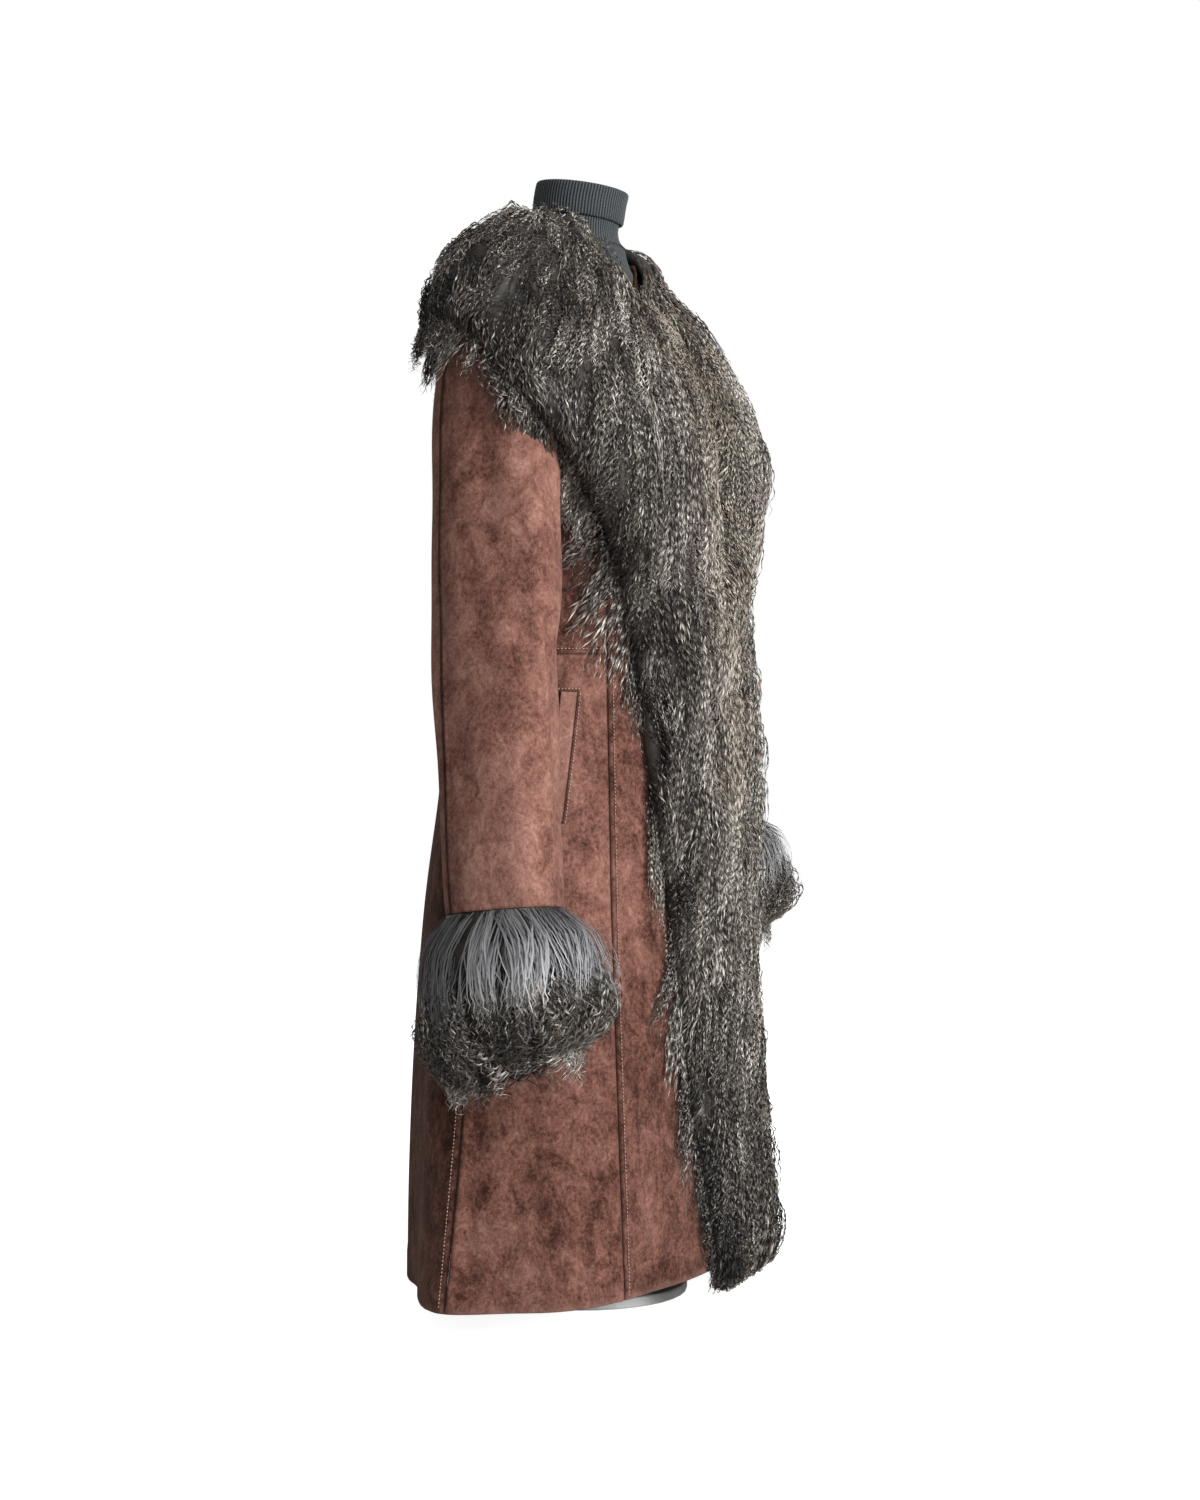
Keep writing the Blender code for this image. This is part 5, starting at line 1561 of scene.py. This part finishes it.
# Across the welt: way behind the front edge, height above the suede and wear, where 0 is painted
# shade. A strip of painted shade comes first, along the welt's front edge, then the welt, then the
# slot, painted dark as shade, then the back lip.
WELT_PROFILE = np.array([
    (-0.0016, 0.0004, 0.0), (-0.0012, 0.0008, 0.0), (0.0000, 0.0008, 0.0), (0.0002, 0.0026, 0.0),
    (0.0008, 0.0031, 0.5), (0.0030, 0.0028, 0.85), (0.0070, 0.0024, 0.5), (0.0110, 0.0028, 0.5),
    (0.0138, 0.0036, 0.85), (0.0150, 0.0034, 0.85), (0.0153, 0.0022, 0.0), (0.0154, 0.0008, 0.0),
    (0.0160, 0.0007, 0.0), (0.0178, 0.0007, 0.0), (0.0182, 0.0009, 0.0), (0.0186, 0.0024, 0.5),
    (0.0196, 0.0029, 0.85), (0.0220, 0.0024, 0.5), (0.0245, 0.0014, 0.5), (0.0250, 0.0004, 0.0),
])
POCKET_STITCH_EDGE = 0.0032     # the stitches run this far outside the welt


def on_skirt(front, height, way, lift):
    """A point of the skirt, this way behind an angle, lifted off the dressed suede."""
    angle = front + way / metres_per_degree(coat_surface, front, height)
    plain = coat_surface(angle, height)
    normal = surface_normal(coat_surface, angle, height)
    return plain + normal * (body_relief(angle, height, plain) + lift)[..., None], normal


def make_welt(side):
    share = WELT_SHARES
    front = mix(POCKET_BOTTOM[0], POCKET_TOP[0], share)
    height = mix(POCKET_BOTTOM[1], POCKET_TOP[1], share)
    profile_way, profile_lift, profile_wear_and_shade = WELT_PROFILE.T[:, None, :]
    ends = np.where((share < 0) | (share > 1), 0.0, 1.0)
    way = profile_way + 0 * share
    lift = np.maximum(profile_lift * ends, np.minimum(0.0008, profile_lift))
    lift[[0, -1]] = 0.0004
    points = on_skirt(front + 0 * way, height + 0 * way, way, lift)[0]
    wear_and_shade = profile_wear_and_shade + 0 * share
    # Painted shade at both ends of the welt.
    wear_and_shade[[0, 1, 2, -3, -2, -1]] = 0.0
    if side == "left":
        points = points * (-1, 1, 1)
    piece = object_from_grid(f"pocket_welt_suede_{side}", points, flip=side == "right")
    set_value(piece.data, "wear_and_shade", wear_and_shade)
    set_value(piece.data, "tone_and_shade", 0.008 + 0 * wear_and_shade)
    piece.data.materials.append(SUEDE_FINISH)
    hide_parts(f"pocket_welt_{side}")
    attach(piece, "root")
    return piece


def stitch_pocket(side):
    """One row of stitches beside the welt's front edge and one above its top."""
    along = np.linspace(-0.012, 1.0, 80)
    over = np.linspace(-POCKET_STITCH_EDGE, 0.022, 24)
    front = on_skirt(mix(POCKET_BOTTOM[0], POCKET_TOP[0], along),
                     mix(POCKET_BOTTOM[1], POCKET_TOP[1], along),
                     np.full(80, -POCKET_STITCH_EDGE), np.full(80, 0.0011))
    top = on_skirt(np.full(24, POCKET_TOP[0]), np.full(24, POCKET_TOP[1] + POCKET_STITCH_EDGE),
                   over, np.full(24, 0.0011))
    for label, (line, out) in (("front", front), ("top", top)):
        if side == "left":
            line, out = line * (-1, 1, 1), out * (-1, 1, 1)
        make_stitches(f"stitches_pocket_{label}_{side}", line, out, pitch=0.0032, long=0.0020)


for side in ("right", "left"):
    suede_pieces.append(make_welt(side))
    stitch_pocket(side)

# %% [markdown]
# ## The form and its stand
# The neck of the form wears a fine ribbed knit with a turned band at the top. The ribs are narrow
# rounded ridges in the mesh, so they keep their shadow from every side, and their colour also
# carries painted shade, dark in the valleys and pale on the crests. A noise gives the yarn.

# %% Knit finish
def make_knit():
    material, tree, shader, place = start_material("ribbed_knit", 0.88, 0.2)
    lines = place_group(tree, THREADS, place, Scale=1500.0)["Lines"]
    stitches = add_noise(tree, add_stretch(tree, place, (1, 1, 2.2)), 520.0, 2.0, 0.6)
    # Painted shade: the valleys between the ribs are dark and their crests pale.
    rib_painted_shade = attribute(tree, "rib_painted_shade")
    shade = add_math(tree, "MULTIPLY_ADD", rib_painted_shade, 0.70, add_math(tree, "MULTIPLY", stitches, 0.40))
    colour = add_ramp(tree, shade, [
        (0.20, (0.0035, 0.0045, 0.0055)), (0.42, (0.024, 0.029, 0.033)),
        (0.90, (0.100, 0.113, 0.120)),
    ])
    tree.links.new(colour, shader.inputs["Base Color"])
    yarn = add_math(tree, "ADD", stitches, lines)
    tree.links.new(add_bump(tree, yarn, 0.6, 0.0005), shader.inputs["Normal"])
    shader.inputs["Sheen Weight"].default_value = 0.15
    shader.inputs["Sheen Roughness"].default_value = 0.5
    return material


KNIT_FINISH = make_knit()

# %% Knit neck
FORM_TOP, BAND_BOTTOM, FORM_BOTTOM = 1.110, 1.0785, 0.410
NECK_TILT = math.tan(math.radians(8.6))
RIBS, RIB_HEIGHT, BAND_RIB_HEIGHT = 92, 0.00035, 0.00045
# height, half width, half depth, forward
NECK_RINGS = [
    (1.050, 0.0600, 0.0480, -0.006), (1.058, 0.0470, 0.0430, -0.006),
    (1.071, 0.0415, 0.0410, -0.006), (1.084, 0.0425, 0.0425, -0.005),
    (1.098, 0.0430, 0.0430, -0.003), (FORM_TOP, 0.0430, 0.0430, 0.000),
]


def neck_points(angle, height, extra):
    turn = np.radians(angle)
    lean = NECK_TILT * np.clip((height - 1.046) / 0.024, 0, 1)
    x = -np.sin(turn) * (column(NECK_RINGS, height, 1) + extra)
    y = -np.cos(turn) * (column(NECK_RINGS, height, 2) + extra)
    return np.stack([x, y - column(NECK_RINGS, height, 3), height + y * lean], -1)


def tube_from_rings(name, points, cap_ends=False, joined=False):
    """A tube from (rings, points round, 3). With joined, the last ring meets the first."""
    rows, columns = points.shape[:2]
    index = np.arange(rows * columns).reshape(rows, columns)
    index = np.concatenate([index, index[:, :1]], axis=1)
    if joined:
        index = np.concatenate([index, index[:1]], axis=0)
    faces = grid_faces(index).tolist()
    if cap_ends:
        faces += [list(range(columns)), list(range((rows - 1) * columns, rows * columns))[::-1]]
    mesh = bpy.data.meshes.new(name)
    mesh.from_pydata(points.reshape(-1, 3).tolist(), [], faces)
    turn_outwards(mesh)
    mesh.shade_smooth()
    return place_mesh(mesh)


def finish_knit(piece, rib_painted_shade, node):
    set_value(piece.data, "rib_painted_shade", rib_painted_shade)
    piece.data.materials.append(KNIT_FINISH)
    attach(piece, "root")
    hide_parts(node)
    print(f"{piece.name}: {len(piece.data.polygons)} faces")


angles = np.linspace(0, 360, RIBS * 4, endpoint=False)[None, :]
wave = np.cos(np.radians(angles) * RIBS)
# Painted shade of the ribs: 0 in each valley, 1 on each crest.
rib_shade = 0.5 + 0.5 * wave
under_top = FORM_TOP - 0.001
neck_levels = np.concatenate([
    np.linspace(1.050, BAND_BOTTOM + 0.002, 8), [1.090, FORM_TOP - 0.004, under_top]])[:, None]
low = neck_points(angles, neck_levels, RIB_HEIGHT * wave - RIB_HEIGHT)
# The top closes with four plain rings: share of the neck's width and rise of each.
ring = neck_points(angles, np.full((1, 1), under_top), -0.0005 + 0 * wave)
middle = ring.mean(axis=1, keepdims=True)
closing_rings = ((0.965, 0.0006), (0.80, 0.0018), (0.45, 0.0030), (0.05, 0.0034))
inward = [middle + (ring - middle) * share + (0, 0, lift) for share, lift in closing_rings]
neck = tube_from_rings("form_neck_knit", np.concatenate([low, *inward]), cap_ends=True)
plain_top = np.full((len(inward), angles.size), 0.5)
rib_shades = np.concatenate([np.repeat(rib_shade, len(neck_levels), 0), plain_top])
finish_knit(neck, rib_shades, "form_torso")

# %% Turned band at the top of the neck
band_profile = [  # height, way off the knit
    (BAND_BOTTOM + 0.0006, 0.0006), (BAND_BOTTOM, 0.0018), (BAND_BOTTOM + 0.0004, 0.0029),
    (BAND_BOTTOM + 0.002, 0.0034), (BAND_BOTTOM + 0.008, 0.0033), (BAND_BOTTOM + 0.015, 0.0032),
    (BAND_BOTTOM + 0.022, 0.0032), (FORM_TOP - 0.004, 0.0033), (FORM_TOP - 0.0016, 0.0031),
    (FORM_TOP - 0.0004, 0.0024), (FORM_TOP, 0.0012), (FORM_TOP - 0.0006, 0.0004),
]
band_rings = []
for level, away in band_profile:
    # Only the outer face is ribbed.
    off_knit = away + (BAND_RIB_HEIGHT * wave if away > 0.0015 else 0)
    band_rings.append(neck_points(angles, np.full((1, 1), level), off_knit))
band = tube_from_rings("form_neck_band_knit", np.concatenate(band_rings), joined=True)
finish_knit(band, np.repeat(rib_shade, len(band_profile), 0), "form_neck_band")

# %% Covered body of the form
FORM_EASE = [
    (0.410, 0.034), (0.470, 0.020), (0.630, 0.010), (0.780, 0.009), (0.900, 0.007), (0.965, 0.004),
    (0.995, 0.0022), (1.060, 0.0022),
]


def body_under_coat(angle, height):
    plain = ring_points(BODY_RINGS, angle, height)
    normal = surface_normal(lambda a, b: ring_points(BODY_RINGS, a, b), angle, height)
    return plain - normal * (column(FORM_EASE, height, 1) + SUEDE)[..., None]


turns = np.linspace(0, 360, 72, endpoint=False)[None, :]
body_levels = even_heights(BODY_RINGS, FORM_BOTTOM, 1.0415, 40)[:, None]
body = body_under_coat(turns + 0 * body_levels, body_levels + 0 * turns)
floor_ring = body[:1] * (1, 1, 0) + (0, 0, FORM_BOTTOM)
middle = floor_ring.mean(axis=1, keepdims=True)
bottom = [middle + (floor_ring - middle) * share for share in (0.05, 0.5, 0.9)]
neck_base = neck_points(turns, np.full((1, 1), 1.0505), -0.0012)
torso_rings = np.concatenate([*bottom, floor_ring, body[1:], neck_base])
torso = tube_from_rings("form_torso_cover", torso_rings, cap_ends=True)
finish_knit(torso, np.full(len(torso.data.vertices), 0.45), "form_torso")

# %% [markdown]
# ## The stand
# The pole and the base are plain turned metal with a pale coat of paint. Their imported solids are
# already the right shape, so they only get a finish.

# %% Pole and base
def make_stand_metal():
    material, tree, shader, place = start_material("stand_metal", 0.45, 0.5)
    cloud = add_noise(tree, place, 14.0, 4.0, 0.6)
    orange_peel = add_noise(tree, place, 420.0, 2.0, 0.5)
    colour = add_ramp(tree, cloud, [(0.3, (0.860, 0.855, 0.842)), (0.7, (0.900, 0.896, 0.884))])
    tree.links.new(colour, shader.inputs["Base Color"])
    sheen_span = add_span(tree, cloud, 0.3, 0.7, 0.38, 0.55)
    tree.links.new(sheen_span, shader.inputs["Roughness"])
    tree.links.new(add_bump(tree, orange_peel, 0.12, 0.0003), shader.inputs["Normal"])
    return material


STAND_FINISH = make_stand_metal()
for node in ("form_pole", "form_base"):
    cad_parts[node].data.materials[0] = STAND_FINISH
    print(node, "wears", STAND_FINISH.name)
